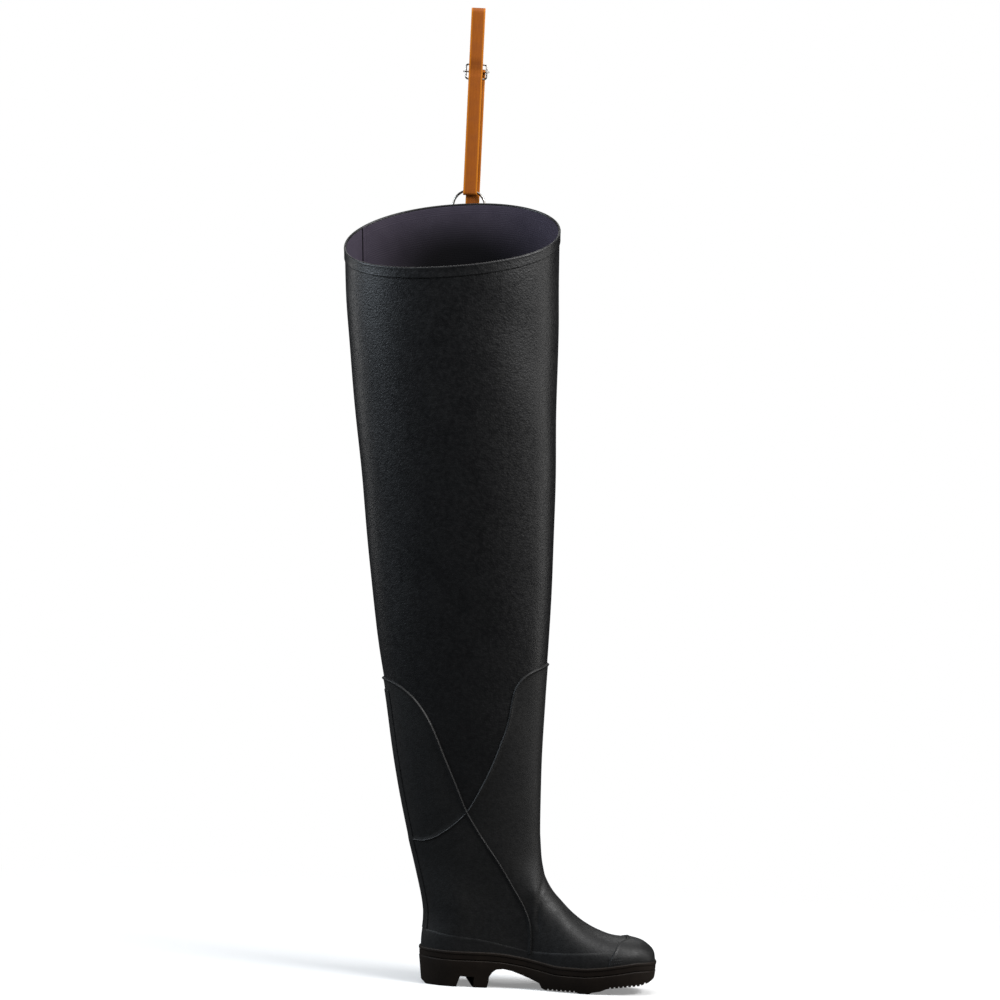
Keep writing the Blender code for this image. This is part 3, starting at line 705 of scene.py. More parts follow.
def run_along(points):
    """Return how far each point of a line lies from the line's start, measured along it."""
    return np.concatenate([[0.0], np.cumsum(np.linalg.norm(np.diff(points, axis=0), axis=1))])


def even_line(line, count=EDGE_POINTS):
    """Spread points evenly along a line of angles and section numbers."""
    run = run_along(surface(line[:, 0], line[:, 1]))
    spread = np.linspace(0.0, run[-1], count)
    return np.stack([np.interp(spread, run, line[:, 0]), np.interp(spread, run, line[:, 1])], axis=1)


def side_line(edge):
    """Return an edge, given as seen from the side, as angles and numbers of the inner side."""
    places = np.array(edge, float)
    run = run_along(places)
    spread = np.linspace(0.0, run[-1], EDGE_POINTS)
    x = smooth_curve(run, places[:, 0])(spread)
    z = smooth_curve(run, places[:, 1])(spread)
    return even_line(np.stack(locate(x, z), axis=1))


def mirrored(line, about=0.0):
    """Return a line on the other side of the back (0) or the front (pi)."""
    return np.stack([2 * about - line[:, 0], line[:, 1]], axis=1)


def line_at(line, place):
    """Return a line's angle and number at places from 0 to 1 along it."""
    index = place * (len(line) - 1)
    steps = np.arange(len(line))
    return np.stack([np.interp(index, steps, line[:, 0]), np.interp(index, steps, line[:, 1])], axis=-1)


def filled_patch(bottom, top, left, right, s, t):
    """Spread the places s and t between four edge lines."""
    a = s[..., None]
    b = t[..., None]
    up = (1 - b) * line_at(bottom, s) + b * line_at(top, s)
    across = (1 - a) * line_at(left, t) + a * line_at(right, t)
    corners = (1 - a) * (1 - b) * bottom[0] + a * (1 - b) * bottom[-1]
    corners = corners + (1 - a) * b * top[0] + a * b * top[-1]
    return up + across - corners


# Rows next to an overlay's edge, in millimetres from it.
BORDER = np.array([0.0, 0.12, 0.3, 0.55, 0.85, 1.2, 1.65, 2.2, 2.9, 3.8])
ROUGH_GRID = 40
EDGE_SAMPLES = 1500


def crowded(length, count):
    """Return places from 0 to 1 that crowd towards both ends of a given length."""
    border = BORDER * min(1.0, length / (4.0 * BORDER[-1]))
    middle = np.linspace(border[-1], length - border[-1], count)
    return np.concatenate([border, middle[1:-1], length - border[::-1]]) / length


def patch_places(bottom, top, left, right, rows, columns):
    """Return angles and numbers over a patch, closer together along its edges."""
    even = np.linspace(0, 1, ROUGH_GRID)
    rough = filled_patch(bottom, top, left, right, *np.meshgrid(even, even))
    points = surface(rough[..., 0], rough[..., 1])
    row_lengths = np.linalg.norm(np.diff(points, axis=1), axis=2).sum(axis=1)
    column_lengths = np.linalg.norm(np.diff(points, axis=0), axis=2).sum(axis=0)
    t_line = crowded(float(column_lengths.mean()), rows)
    s_line = crowded(float(row_lengths.mean()), columns)
    lengths = np.interp(t_line, even, row_lengths)
    s = np.array([crowded(float(length), columns) for length in lengths])
    heights = np.interp(s_line, even, column_lengths)
    t = np.array([crowded(float(height), rows) for height in heights]).T
    return filled_patch(bottom, top, left, right, s, t)


def edge_distances(points, lines):
    """Return each point's distance from the nearest of the edge lines."""
    edges = []
    for line in lines:
        dense = even_line(line, EDGE_SAMPLES)
        edges.append(surface(dense[:, 0], dense[:, 1]))
    edges = np.concatenate(edges)
    tree = KDTree(len(edges))
    for i, point in enumerate(edges):
        tree.insert(point, i)
    tree.balance()
    flat = points.reshape(-1, 3)
    return np.array([tree.find(point)[2] for point in flat]).reshape(points.shape[:-1])


def rolled(distance, face, roll, bead=0.0):
    """Return an overlay's height at a distance from its edge."""
    t = np.clip(distance / roll, 0.0, 1.0)
    edge = np.sqrt(1.0 - (1.0 - t) ** 2)
    return edge * (face + bead * bell(distance - roll, roll))


def overlay(name, edges, rolled_edges, rows, columns, shape):
    """Make an overlay between its bottom, top, left and right edges.

    Its height comes from shape, which gets each point and how far it lies from the rolled edges.
    """
    places = patch_places(*edges, rows, columns)
    angle = places[..., 0]
    number = places[..., 1]
    bare = surface(angle, number)
    height = shape(bare, edge_distances(bare, rolled_edges))
    outer = skin(angle, number, height)
    inner = skin(angle, number, np.full(height.shape, -TUCK))
    return closed_sheet(name, outer, inner, FOOT_RUBBER)


# Node trees: small helpers that the finishes and the repeated pieces share.


def node(tree, kind, inputs=None, **settings):
    """Add a node. Each input is a value, or another node's output to link."""
    made = tree.nodes.new(kind)
    for name, value in settings.items():
        setattr(made, name, value)
    for name, value in (inputs or {}).items():
        if isinstance(value, bpy.types.NodeSocket):
            tree.links.new(value, made.inputs[name])
        else:
            made.inputs[name].default_value = value
    return made


def blank_finish(name, **constants):
    """Start a material; the constants are set on the shader's own sockets."""
    finish = bpy.data.materials.new(name)
    finish.use_nodes = True
    tree = finish.node_tree
    shader = tree.nodes["Principled BSDF"]
    for socket, value in constants.items():
        shader.inputs[socket.replace("_", " ")].default_value = value
    return finish, tree, shader


def object_place(tree):
    """Return the place on the piece, in metres."""
    return node(tree, "ShaderNodeTexCoord").outputs["Object"]


def noise(tree, place, size, detail=3.0, roughness=0.55):
    """Return soft noise whose patches are about size millimetres across."""
    scale = 1.0 / (size * METRES)
    settings = {"Vector": place, "Scale": scale, "Detail": detail, "Roughness": roughness}
    return node(tree, "ShaderNodeTexNoise", settings).outputs["Fac"]


def pebbles(tree, place, size):
    """Return small rounded cells about size millimetres across."""
    settings = {"Vector": place, "Scale": 1.0 / (size * METRES), "Smoothness": 0.7}
    return node(tree, "ShaderNodeTexVoronoi", settings, feature="SMOOTH_F1").outputs["Distance"]


def spread_to(tree, value, low, high, to_low, to_high, interpolation="LINEAR"):
    """Map a value from one range to another."""
    settings = {"Value": value, "From Min": low, "From Max": high, "To Min": to_low, "To Max": to_high}
    mapped = node(tree, "ShaderNodeMapRange", settings, interpolation_type=interpolation)
    return mapped.outputs["Result"]


def reckoned(tree, operation, *values):
    """Return the result of a sum; each value is a number or another node's output."""
    return node(tree, "ShaderNodeMath", dict(enumerate(values)), operation=operation).outputs[0]


def axis_of(tree, place, axis):
    """Return one axis of a place."""
    return node(tree, "ShaderNodeSeparateXYZ", {0: place}).outputs[axis]


def stretched(tree, place, scale, shift=(0.0, 0.0, 0.0)):
    """Return a place, scaled and then shifted."""
    settings = {"Vector": place, "Scale": scale, "Location": shift}
    return node(tree, "ShaderNodeMapping", settings).outputs[0]


def noted_place(tree, name):
    """Return the place that note_places() kept on the piece."""
    return node(tree, "ShaderNodeAttribute", attribute_name=name).outputs["Vector"]


def blended(tree, share, first, second):
    """Mix two colours; each is a colour or another node's output."""
    mix = node(tree, "ShaderNodeMix", {"Factor": share}, data_type="RGBA")
    for socket, colour in ((mix.inputs[6], first), (mix.inputs[7], second)):
        if isinstance(colour, bpy.types.NodeSocket):
            tree.links.new(colour, socket)
        else:
            socket.default_value = (*colour, 1.0)
    return mix.outputs[2]


def bumped(tree, height, distance, strength=1.0, normal=None):
    """Turn a height into a bump of distance millimetres."""
    inputs = {"Height": height, "Distance": distance * METRES, "Strength": strength}
    if normal is not None:
        inputs["Normal"] = normal
    return node(tree, "ShaderNodeBump", inputs).outputs["Normal"]


def dress(tree, shader, colour, normal, roughness=None):
    """Link a finish's colour, bump and, where it varies, roughness to its shader."""
    tree.links.new(colour, shader.inputs["Base Color"])
    tree.links.new(normal, shader.inputs["Normal"])
    if roughness is not None:
        tree.links.new(roughness, shader.inputs["Roughness"])


# Finishes.

# name, colour, bloomed colour, roughness, height of the grain
SHAFT_LOOK = ("shaft_rubber", (0.0026, 0.0026, 0.0030), (0.0050, 0.0050, 0.0054), 0.43, 0.22)
FOOT_LOOK = ("foot_rubber", (0.0036, 0.0036, 0.0038), (0.0064, 0.0062, 0.0060), 0.53, 0.13)
MOTTLE_SIZE = 34.0
PATCH_SIZE = 5.0
FINE_GRAIN = 1.1
COARSE_GRAIN = 2.2


def rubber(name, colour, bloomed, gloss, grain_height):
    """Black rubber: pebbled grain, slow mottling and a thin bloom."""
    finish, tree, shader = blank_finish(name, Specular_IOR_Level=0.36)
    place = object_place(tree)
    mottle = noise(tree, place, MOTTLE_SIZE, 4.0)
    patches = noise(tree, place, PATCH_SIZE)
    bloom = spread_to(tree, mottle, 0.35, 0.72, 0.0, 1.0)
    uneven = spread_to(tree, patches, 0.3, 0.7, gloss - 0.07, gloss + 0.08)
    fine = bumped(tree, pebbles(tree, place, FINE_GRAIN), grain_height * 0.45, 0.8)
    coarse = bumped(tree, pebbles(tree, place, COARSE_GRAIN), grain_height, 0.9, fine)
    grain = bumped(tree, patches, grain_height * 0.5, 0.8, coarse)
    dress(tree, shader, blended(tree, bloom, colour, bloomed), grain, uneven)
    return finish


SOLE_BROWN = (0.0086, 0.0050, 0.0029)
SOLE_DUST = (0.0150, 0.0096, 0.0060)


def moulded_rubber(name):
    """The sole's rubber: warm brown-black and matt, with soft patches of dust."""
    finish, tree, shader = blank_finish(name, Specular_IOR_Level=0.22)
    place = object_place(tree)
    dust = noise(tree, place, 22.0, 5.0, 0.65)
    specks = noise(tree, place, 1.4, 2.0)
    colour = blended(tree, spread_to(tree, dust, 0.42, 0.75, 0.0, 0.75), SOLE_BROWN, SOLE_DUST)
    roughness = spread_to(tree, specks, 0.3, 0.7, 0.52, 0.68)
    dress(tree, shader, colour, bumped(tree, specks, 0.10, 0.7), roughness)
    return finish


# The lining's painted shade, dark deep in the shaft: x and z of its darkest place, and how far its shade
# reaches along and up.
WELL_MIDDLE = (-22.0, 860.0)
WELL_REACH = (134.0, 76.0)
WELL_STARTS = 0.25
WELL_ENDS = 1.2
NO_LOWER_END = -100.0


def well_shade(tree):
    """Return how deep in the shaft a place lies: 0 at the rim, near 1 where hardly any light comes."""
    scale = [1.0 / (reach * METRES) for reach in WELL_REACH]
    shift = [-middle * METRES * factor for middle, factor in zip(WELL_MIDDLE, scale)]
    beside = stretched(tree, object_place(tree), (scale[0], 0.0, scale[1]), (shift[0], 0.0, shift[1]))
    ends = {0: beside, 1: (NO_LOWER_END, 0.0, 0.0)}
    above = node(tree, "ShaderNodeVectorMath", ends, operation="MAXIMUM").outputs[0]
    away = node(tree, "ShaderNodeVectorMath", {0: above}, operation="LENGTH").outputs["Value"]
    return spread_to(tree, away, WELL_STARTS, WELL_ENDS, 0.99, 0.0, "SMOOTHSTEP")


LINING_DARK = (0.034, 0.028, 0.041)
LINING_LIGHT = (0.074, 0.063, 0.084)
LINING_PAINTED_SHADE = (0.0012, 0.0010, 0.0014)
LINING_LAP_EDGE_SHADE = (0.006, 0.005, 0.007)
LINING_SHEEN = (0.62, 0.58, 0.75, 1.0)
RIB_PITCH = 0.0021
RIB_WANDER = 0.0011


def knitted_lining(name):
    """The cloth inside the shaft: fine ribs along the rim, purple-grey, with painted shade deep in the
    shaft and along the lap's edges.
    """
    finish, tree, shader = blank_finish(name, Roughness=0.86, Specular_IOR_Level=0.1, Sheen_Weight=0.04)
    shader.inputs["Sheen Roughness"].default_value = 0.5
    shader.inputs["Sheen Tint"].default_value = LINING_SHEEN
    knit = noted_place(tree, "knit")
    wander = noise(tree, knit, 9.0, 2.0)
    height = reckoned(tree, "MULTIPLY_ADD", wander, RIB_WANDER, axis_of(tree, knit, "Y"))
    rib = reckoned(tree, "SINE", reckoned(tree, "MULTIPLY", height, 2 * math.pi / RIB_PITCH))
    loops = noise(tree, stretched(tree, knit, (1.0, 2.2, 1.0)), 1.5, 1.0)
    fuzz = noise(tree, object_place(tree), 18.0)
    uneven = reckoned(tree, "MULTIPLY", spread_to(tree, rib, -1.0, 1.0, 0.15, 0.85), fuzz)
    cloth = blended(tree, uneven, LINING_DARK, LINING_LIGHT)
    # Painted shade: the cloth turns almost black deep in the shaft, where little light reaches.
    cloth = blended(tree, well_shade(tree), cloth, LINING_PAINTED_SHADE)
    # Painted shade along the lap's edges, marked in the third axis of the knit place.
    seam = reckoned(tree, "MULTIPLY", axis_of(tree, knit, "Z"), 1.0 / METRES)
    ribs = bumped(tree, rib, 0.05, 0.7)
    dress(tree, shader, blended(tree, seam, cloth, LINING_LAP_EDGE_SHADE), bumped(tree, loops, 0.22, 0.6, ribs))
    return finish


FELT_DARK = (0.018, 0.018, 0.022)
FELT_LIGHT = (0.06, 0.058, 0.068)


def footbed_felt(name):
    """The insole's cloth: dark grey and fibrous."""
    finish, tree, shader = blank_finish(name, Roughness=0.92, Specular_IOR_Level=0.2, Sheen_Weight=0.3)
    place = stretched(tree, object_place(tree), (1.0, 1.0, 0.4))
    fibres = noise(tree, place, 1.1, 4.0, 0.7)
    share = reckoned(tree, "MULTIPLY", fibres, noise(tree, place, 16.0, 2.0))
    colour = blended(tree, spread_to(tree, share, 0.15, 0.4, 0.0, 1.0), FELT_DARK, FELT_LIGHT)
    dress(tree, shader, colour, bumped(tree, fibres, 0.3, 0.8))
    return finish


STRAP_BROWN = (0.235, 0.060, 0.0050)
STRAP_TAN = (0.285, 0.076, 0.0070)
STRAP_HANDLED = (0.190, 0.046, 0.0040)
STRAP_PAINTED_SHADE = (0.130, 0.030, 0.0020)
STRAP_EDGE_HIGHLIGHT = (0.45, 0.140, 0.0050)
# How far from the strap's edge its painted highlight starts, and where it is full.
HIGHLIGHT_STARTS = 2.6
HIGHLIGHT_IS_FULL = 0.8
# Painted shade on the strap where it bends, just over the buckle's bar.
BEND_SHADE_HEIGHT = 1107.0


def gum_strap(name):
    """The strap's tan gum rubber: brown faces, a painted orange highlight along the edges, painted shade
    over the bar and faint streaks along it.
    """
    finish, tree, shader = blank_finish(name, Specular_IOR_Level=0.2)
    strap = noted_place(tree, "strap")
    across = reckoned(tree, "ABSOLUTE", axis_of(tree, strap, "X"))
    half = STRAP_WIDTH / 2
    ends = ((half - HIGHLIGHT_STARTS) * METRES, (half - HIGHLIGHT_IS_FULL) * METRES)
    # Painted highlight: the strap turns bright orange towards its rounded edges, where they catch the
    # light and it shines through the thin rubber.
    edge = spread_to(tree, across, *ends, 0.0, 1.0, "SMOOTHSTEP")
    streaks = noise(tree, stretched(tree, strap, (1.0, 0.05, 1.0)), 1.3)
    patches = noise(tree, strap, 14.0)
    face = blended(tree, spread_to(tree, streaks, 0.3, 0.7, 0.0, 1.0), STRAP_BROWN, STRAP_TAN)
    face = blended(tree, spread_to(tree, patches, 0.4, 0.75, 0.0, 0.45), face, STRAP_HANDLED)
    height = axis_of(tree, object_place(tree), "Z")
    off_bend_shade = reckoned(tree, "ABSOLUTE", reckoned(tree, "SUBTRACT", height, BEND_SHADE_HEIGHT * METRES))
    # Painted shade: the strap is darker in a band just over the buckle's bar, where it bends away from
    # the light.
    face = blended(tree, spread_to(tree, off_bend_shade, 0.001, 0.009, 0.6, 0.0), face, STRAP_PAINTED_SHADE)
    grain = bumped(tree, noise(tree, strap, 0.7, 2.0), 0.06, 0.7)
    worn = spread_to(tree, patches, 0.3, 0.7, 0.46, 0.6)
    dress(tree, shader, blended(tree, edge, face, STRAP_EDGE_HIGHLIGHT), grain, worn)
    return finish


WIRE_BRIGHT = (0.40, 0.385, 0.36)
WIRE_DULL = (0.24, 0.215, 0.185)


def nickelled_wire(name):
    """Ring and buckle: bright wire, a little dull and brushed."""
    finish, tree, shader = blank_finish(name, Metallic=1.0)
    place = object_place(tree)
    dull = noise(tree, place, 5.0, 4.0, 0.7)
    colour = blended(tree, spread_to(tree, dull, 0.35, 0.75, 0.0, 1.0), WIRE_BRIGHT, WIRE_DULL)
    scratches = bumped(tree, noise(tree, place, 0.5, 2.0), 0.02, 0.5)
    dress(tree, shader, colour, scratches, spread_to(tree, dull, 0.3, 0.8, 0.2, 0.4))
    return finish


SHAFT_RUBBER = rubber(*SHAFT_LOOK)
FOOT_RUBBER = rubber(*FOOT_LOOK)
SOLE_RUBBER = moulded_rubber("sole_rubber")
LINING_CLOTH = knitted_lining("lining_cloth")
FOOTBED_CLOTH = footbed_felt("footbed_cloth")
STRAP_RUBBER = gum_strap("strap_rubber")
STEEL = nickelled_wire("steel")


# Shaft and foot.


def full_turn(columns):
    """Return angles once round the leg."""
    return np.arange(columns) * 2 * math.pi / columns


def make_upper():
    """The rubber shaft and foot, hollow from the rim down to the sole."""
    angle, number = np.meshgrid(full_turn(UPPER_COLUMNS), np.linspace(0.0, RIM_SECTION, UPPER_ROWS))
    outer = skin(angle, number)
    inner = skin(angle, number, np.full(angle.shape, -RUBBER_WALL))
    return closed_tube("boot_upper", outer, inner, SHAFT_RUBBER)


def lining_top():
    """Return the section number at which the lining stops, just below the rim."""
    return RIM_SECTION - LINING_STOPS_BELOW_RIM / (BACK_Z[-1] - BACK_Z[-2])


def knit_places(angle, number):
    """Return places along and across the knitted ribs, in millimetres."""
    height = np.interp(number, SECTION_NUMBERS, (BACK_Z + FRONT_Z) / 2)
    around = angle * (FRONT_X[-1] - BACK_X[-1]) / 2
    return np.stack([around, height, np.zeros(angle.shape)], axis=-1).reshape(-1, 3)


def make_lining():
    """The knitted cloth inside the shaft."""
    numbers = np.linspace(LINING_FOOT_SECTION, lining_top(), LINING_ROWS)
    angle, number = np.meshgrid(full_turn(LINING_COLUMNS), numbers)
    against = np.full(angle.shape, -RUBBER_WALL - LINING_CLEARANCE)
    outer = skin(angle, number, against)
    inner = skin(angle, number, against - LINING_WALL)
    made = closed_tube("shaft_lining", outer, inner, LINING_CLOTH)
    note_places(made, "knit", np.tile(knit_places(angle, number), (2, 1)))
    return made


def make_lining_lap():
    """The lining's seam: one edge laps over the other, on the outer side behind the strap."""
    half_turn = LAP_WIDTH / (FRONT_X[-1] - BACK_X[-1])
    share = np.array(LAP_SHARES)
    numbers = np.linspace(LAP_FOOT_SECTION, lining_top(), LAP_ROWS)
    angle, number = np.meshgrid(LAP_ANGLE + (share * 2 - 1) * half_turn, numbers)
    height = LAP_THICKNESS * np.sqrt(1.0 - (2.0 * share - 1.0) ** 8)
    hidden = -RUBBER_WALL - LINING_WALL / 2
    outer = skin(angle, number, np.full(angle.shape, hidden))
    inner = skin(angle, number, np.tile(hidden - LINING_WALL / 2 - height, (len(angle), 1)))
    made = closed_sheet("lining_lap", outer, inner, LINING_CLOTH)
    places = knit_places(angle, number)
    # Painted shade: the points along both edges of the lap are marked, so the cloth is painted dark
    # where the lap's step casts shade.
    places[:, 2] = np.tile((share < LAP_SHADED_EDGES[0]) | (share > LAP_SHADED_EDGES[1]), len(angle))
    note_places(made, "knit", np.tile(places, (2, 1)))
    return made


def make_hem():
    """The hem that wraps the rim, with its rounded lip."""
    angle = full_turn(HEM_COLUMNS)
    rim = np.full(angle.shape, RIM_SECTION)
    edge = skin(angle, rim)
    upward, outward = surface_frame(angle, rim)
    rows = []
    for stand_off, drop in softened(HEM_PROFILE, HEM_ROUNDING):
        rows.append(edge + outward * stand_off - upward * drop)
    points = np.concatenate(rows)
    faces = []
    for face in grid_faces(len(rows) + 1, HEM_COLUMNS, wrapped=True):
        faces.append([corner % len(points) for corner in face])
    return mesh_piece("rim_hem", points, faces, SHAFT_RUBBER)


def softened(corners, cut, count=3):
    """Round each corner of an open line; cut is how far from the corner the rounding starts."""
    places = [np.array(corner, float) for corner in corners]
    line = [places[0]]
    for before, corner, after in zip(places, places[1:], places[2:]):
        back = before - corner
        ahead = after - corner
        start = corner + back * min(cut / np.linalg.norm(back), 0.45)
        end = corner + ahead * min(cut / np.linalg.norm(ahead), 0.45)
        for t in np.linspace(0.0, 1.0, count + 1):
            line.append((1 - t) ** 2 * start + 2 * t * (1 - t) * corner + t * t * end)
    line.append(places[-1])
    return np.array(line)


# Overlays of foot, heel and shin.


def split_at(line, angle_from_end):
    """Split an edge that ends on the boot's middle line, a given angle before that line."""
    near = np.abs(line[:, 0] - line[-1, 0]) < angle_from_end
    first = int(np.argmax(near))
    return line[: first + 1], line[first:]


def joined(*lines):
    """Join lines end to end and spread their points evenly."""
    kept = [lines[0]]
    for line in lines[1:]:
        kept.append(line[1:])
    return even_line(np.concatenate(kept))


def level_line(start, end):
    """Return a straight line between two places of angle and number."""
    return even_line(np.linspace(start, end, 200))


def front_number(x):
    """Return the section number of the foot's crest at x."""
    numbers = np.linspace(0.0, LAST_FOOT_SECTION, 2000)
    return float(np.interp(x, front_place(numbers)[::-1], numbers[::-1]))


def ended_in_front(line, x):
    """Lead a line on to the middle of the foot's crest, in a soft bend."""
    led = even_line(np.concatenate([line, [[math.pi, front_number(x)]]]))
    across = np.concatenate([led, mirrored(led, math.pi)[-2::-1]])
    soft = led.copy()
    for i in range(BEND_REACH, len(led)):
        soft[i] = across[i - BEND_REACH : i + BEND_REACH + 1].mean(axis=0)
    return even_line(soft)


BACK_EDGE = side_line(BACK_PANEL_EDGE)
FOXING_TOP = side_line(FOXING_EDGE)
CAP_EDGE = ended_in_front(side_line(TOE_CAP_EDGE), TOE_CAP_CREST)
hidden_edge_height = smooth_curve(*zip(*HIDDEN_EDGE))


def make_back_panel():
    """The reinforcement of heel and calf; the front panel's edge shows through it."""
    side, top = split_at(BACK_EDGE, PANEL_CORNER)
    right = even_line(side)
    left = mirrored(right)
    bottom = level_line(left[0], right[0])
    crown = joined(mirrored(top), top[::-1])

    def shape(points, distance):
        above = points[..., 2] - hidden_edge_height(points[..., 0])
        over = OVER_FRONT_PANEL * (1.0 - smoothstep(above, -HIDDEN_STEP, HIDDEN_STEP))
        over = over + HIDDEN_BEAD * bell(above, HIDDEN_SPREAD)
        return rolled(distance, BACK_PANEL_FACE + over, PANEL_ROLL, PANEL_BEAD)

    edges = (bottom, crown, left, right)
    return overlay("heel_and_calf_panel", edges, edges[1:], rows=230, columns=120, shape=shape)


def make_front_panel():
    """The reinforcement of instep and shin. It runs on under the back panel, round to the back."""
    crown = side_line([*HIDDEN_EDGE, *FRONT_PANEL_EDGE[1:]])
    top = joined(crown, mirrored(crown, math.pi)[::-1])
    foot = ended_in_front(side_line(FRONT_PANEL_FOOT), TOE_CAP_CREST + FRONT_PANEL_UNDER_CAP)
    bottom = joined(foot, mirrored(foot, math.pi)[::-1])
    left = level_line(bottom[0], top[0])
    right = mirrored(left, math.pi)

    def shape(points, distance):
        return rolled(distance, FRONT_PANEL_FACE, PANEL_ROLL, PANEL_BEAD)

    edges = (bottom, top, left, right)
    return overlay("instep_and_shin_panel", edges, (top,), rows=120, columns=330, shape=shape)


def make_foxing():
    """The band over the joint of upper and sole."""
    right = even_line(np.concatenate([side_line(FOXING_END), FOXING_TOP[-1:]]))
    left = mirrored(right)
    bottom = level_line(left[0], right[0])
    top = joined(mirrored(FOXING_TOP)[::-1], FOXING_TOP)

    def shape(points, distance):
        back = FOXING_OVER_BACK * (1.0 - smoothstep(points[..., 0], *FOXING_STEP))
        return rolled(distance, FOXING_FACE + back, FOXING_ROLL)

    edges = (bottom, top, left, right)
    return overlay("sole_foxing", edges, (top,), rows=24, columns=420, shape=shape)


def make_toe_cap():
    """The thick cap over the toes."""
    side, crest = split_at(CAP_EDGE, TOE_CAP_CORNER)
    left = even_line(side)
    right = mirrored(left, math.pi)
    bottom = level_line(left[0], right[0])
    top = joined(crest, mirrored(crest, math.pi)[::-1])

    def shape(points, distance):
        return rolled(distance, TOE_CAP_FACE, TOE_CAP_ROLL, TOE_CAP_BEAD)

    edges = (bottom, top, left, right)
    return overlay("toe_bumper", edges, edges[1:], rows=60, columns=200, shape=shape)


def make_back_stay():
    """The strip up the back of heel and calf."""
    heights = np.linspace(STAY_FROM, STAY_TO, STAY_POINTS)
    right = even_line(np.stack(locate(back_place(heights) + STAY_REACH, heights), axis=1))
    left = mirrored(right)
    bottom = level_line(left[0], right[0])
    top = level_line(left[-1], right[-1])

    def shape(points, distance):
        raised = OVER_FRONT_PANEL * (1.0 - smoothstep(points[..., 2], *STAY_STEP))
        return rolled(distance, STAY_FACE + raised, STAY_ROLL)

    edges = (bottom, top, left, right)
    return overlay("heel_stay", edges, edges[1:], rows=150, columns=30, shape=shape)


# Sole and footbed.


def plan_directions(outline):
    """Return the outward direction, seen from above, at each point of a closed outline."""
    tangent = np.roll(outline, -1, axis=0) - np.roll(outline, 1, axis=0)
    return unit(np.stack([tangent[:, 1], -tangent[:, 0], np.zeros(len(outline))], axis=1))


def closed_loft(name, levels, finish):
    """Join level outlines, from the lowest up, and close both ends with strips across."""
    columns = len(levels[0])
    faces = grid_faces(len(levels), columns, wrapped=True)
    top = (len(levels) - 1) * columns
    for i in range(columns // 2):
        strip = list(dict.fromkeys((i, i + 1, columns - i - 1, (columns - i) % columns)))
        faces.append([top + corner for corner in strip])
        faces.append(strip[::-1])
    return mesh_piece(name, np.concatenate(levels), faces, finish)


def underside_line():
    """Return the underside with its grooves, from heel to toe."""
    xs, zs = zip(*UNDERSIDE)
    grooves = []
    for start, end in GROOVED:
        for left in np.arange(start, end - GROOVE_WIDTH, GROOVE_PITCH):
            grooves.append((float(left), float(left) + GROOVE_WIDTH))
    line = [(x, z) for x, z in UNDERSIDE if not any(left <= x <= right for left, right in grooves)]
    for left, right in grooves:
        for x in (left, right):
            line.append((x, float(np.interp(x, xs, zs))))
        for x in (left + GROOVE_DRAFT, right - GROOVE_DRAFT):
            line.append((x, float(np.interp(x, xs, zs)) + GROOVE_DEPTH))
    return sorted(line)


def cut_by(made, points, faces, operation):
    """Cut a piece with a block, and keep the result as its plain mesh."""
    block = mesh_piece("block", points, faces, None, smooth=False)
    turned_outward(block)
    cut = made.modifiers.new("cut", "BOOLEAN")
    cut.operation = operation
    cut.solver = "EXACT"
    cut.object = block
    settle(made)
    bpy.data.objects.remove(block, do_unlink=True)


def turned_outward(made):
    """Turn every face of a closed mesh outward."""
    work = bmesh.new()
    work.from_mesh(made.data)
    bmesh.ops.recalc_face_normals(work, faces=work.faces)
    work.to_mesh(made.data)
    work.free()


def settle(made):
    """Replace a piece by what its modifiers make of it."""
    evaluated = made.evaluated_get(bpy.context.evaluated_depsgraph_get())
    mesh = bpy.data.meshes.new_from_object(evaluated)
    made.modifiers.clear()
    made.data = mesh


def shade_by_angle(made, degrees):
    """Shade a piece smooth, except at its sharp edges."""
    made.data.shade_smooth()
    made.data.set_sharp_from_angle(angle=math.radians(degrees))


def make_outsole():
    """The sole: ledge, ribs, heel with its notch, arch and cleats."""
    edge = surface(full_turn(SOLE_COLUMNS), 0.0)
    directions = plan_directions(edge)
    levels = []
    for drop, stand_out in softened(SOLE_SIDE, SIDE_CORNER_CUT):
        level = edge + directions * stand_out
        level[:, 2] = ledge_height(level[:, 0]) - drop
        levels.append(level)
    foot = edge + directions * SOLE_FOOT_STAND_OUT
    foot[:, 2] = SOLE_BLANK_FLOOR
    levels.append(foot)
    sole = closed_loft("cleated_sole", levels[::-1], SOLE_RUBBER)
    line = softened(underside_line(), CORNER_CUT).tolist()
    line += [(CLEAR_OF_TOE, ABOVE_SOLE), (CLEAR_OF_HEEL, ABOVE_SOLE)]
    count = len(line)
    points = [(x, y, z) for y in (-CLEAR_OF_SIDES, CLEAR_OF_SIDES) for x, z in line]
    faces = [list(range(count)), list(range(2 * count - 1, count - 1, -1))]
    for i in range(count):
        following = (i + 1) % count
        faces.append((following, i, count + i, count + following))
    cut_by(sole, points, faces, "INTERSECT")
    cut_by(sole, *notch_block(), "DIFFERENCE")
    shade_by_angle(sole, SOLE_SHARP_FROM)
    return sole


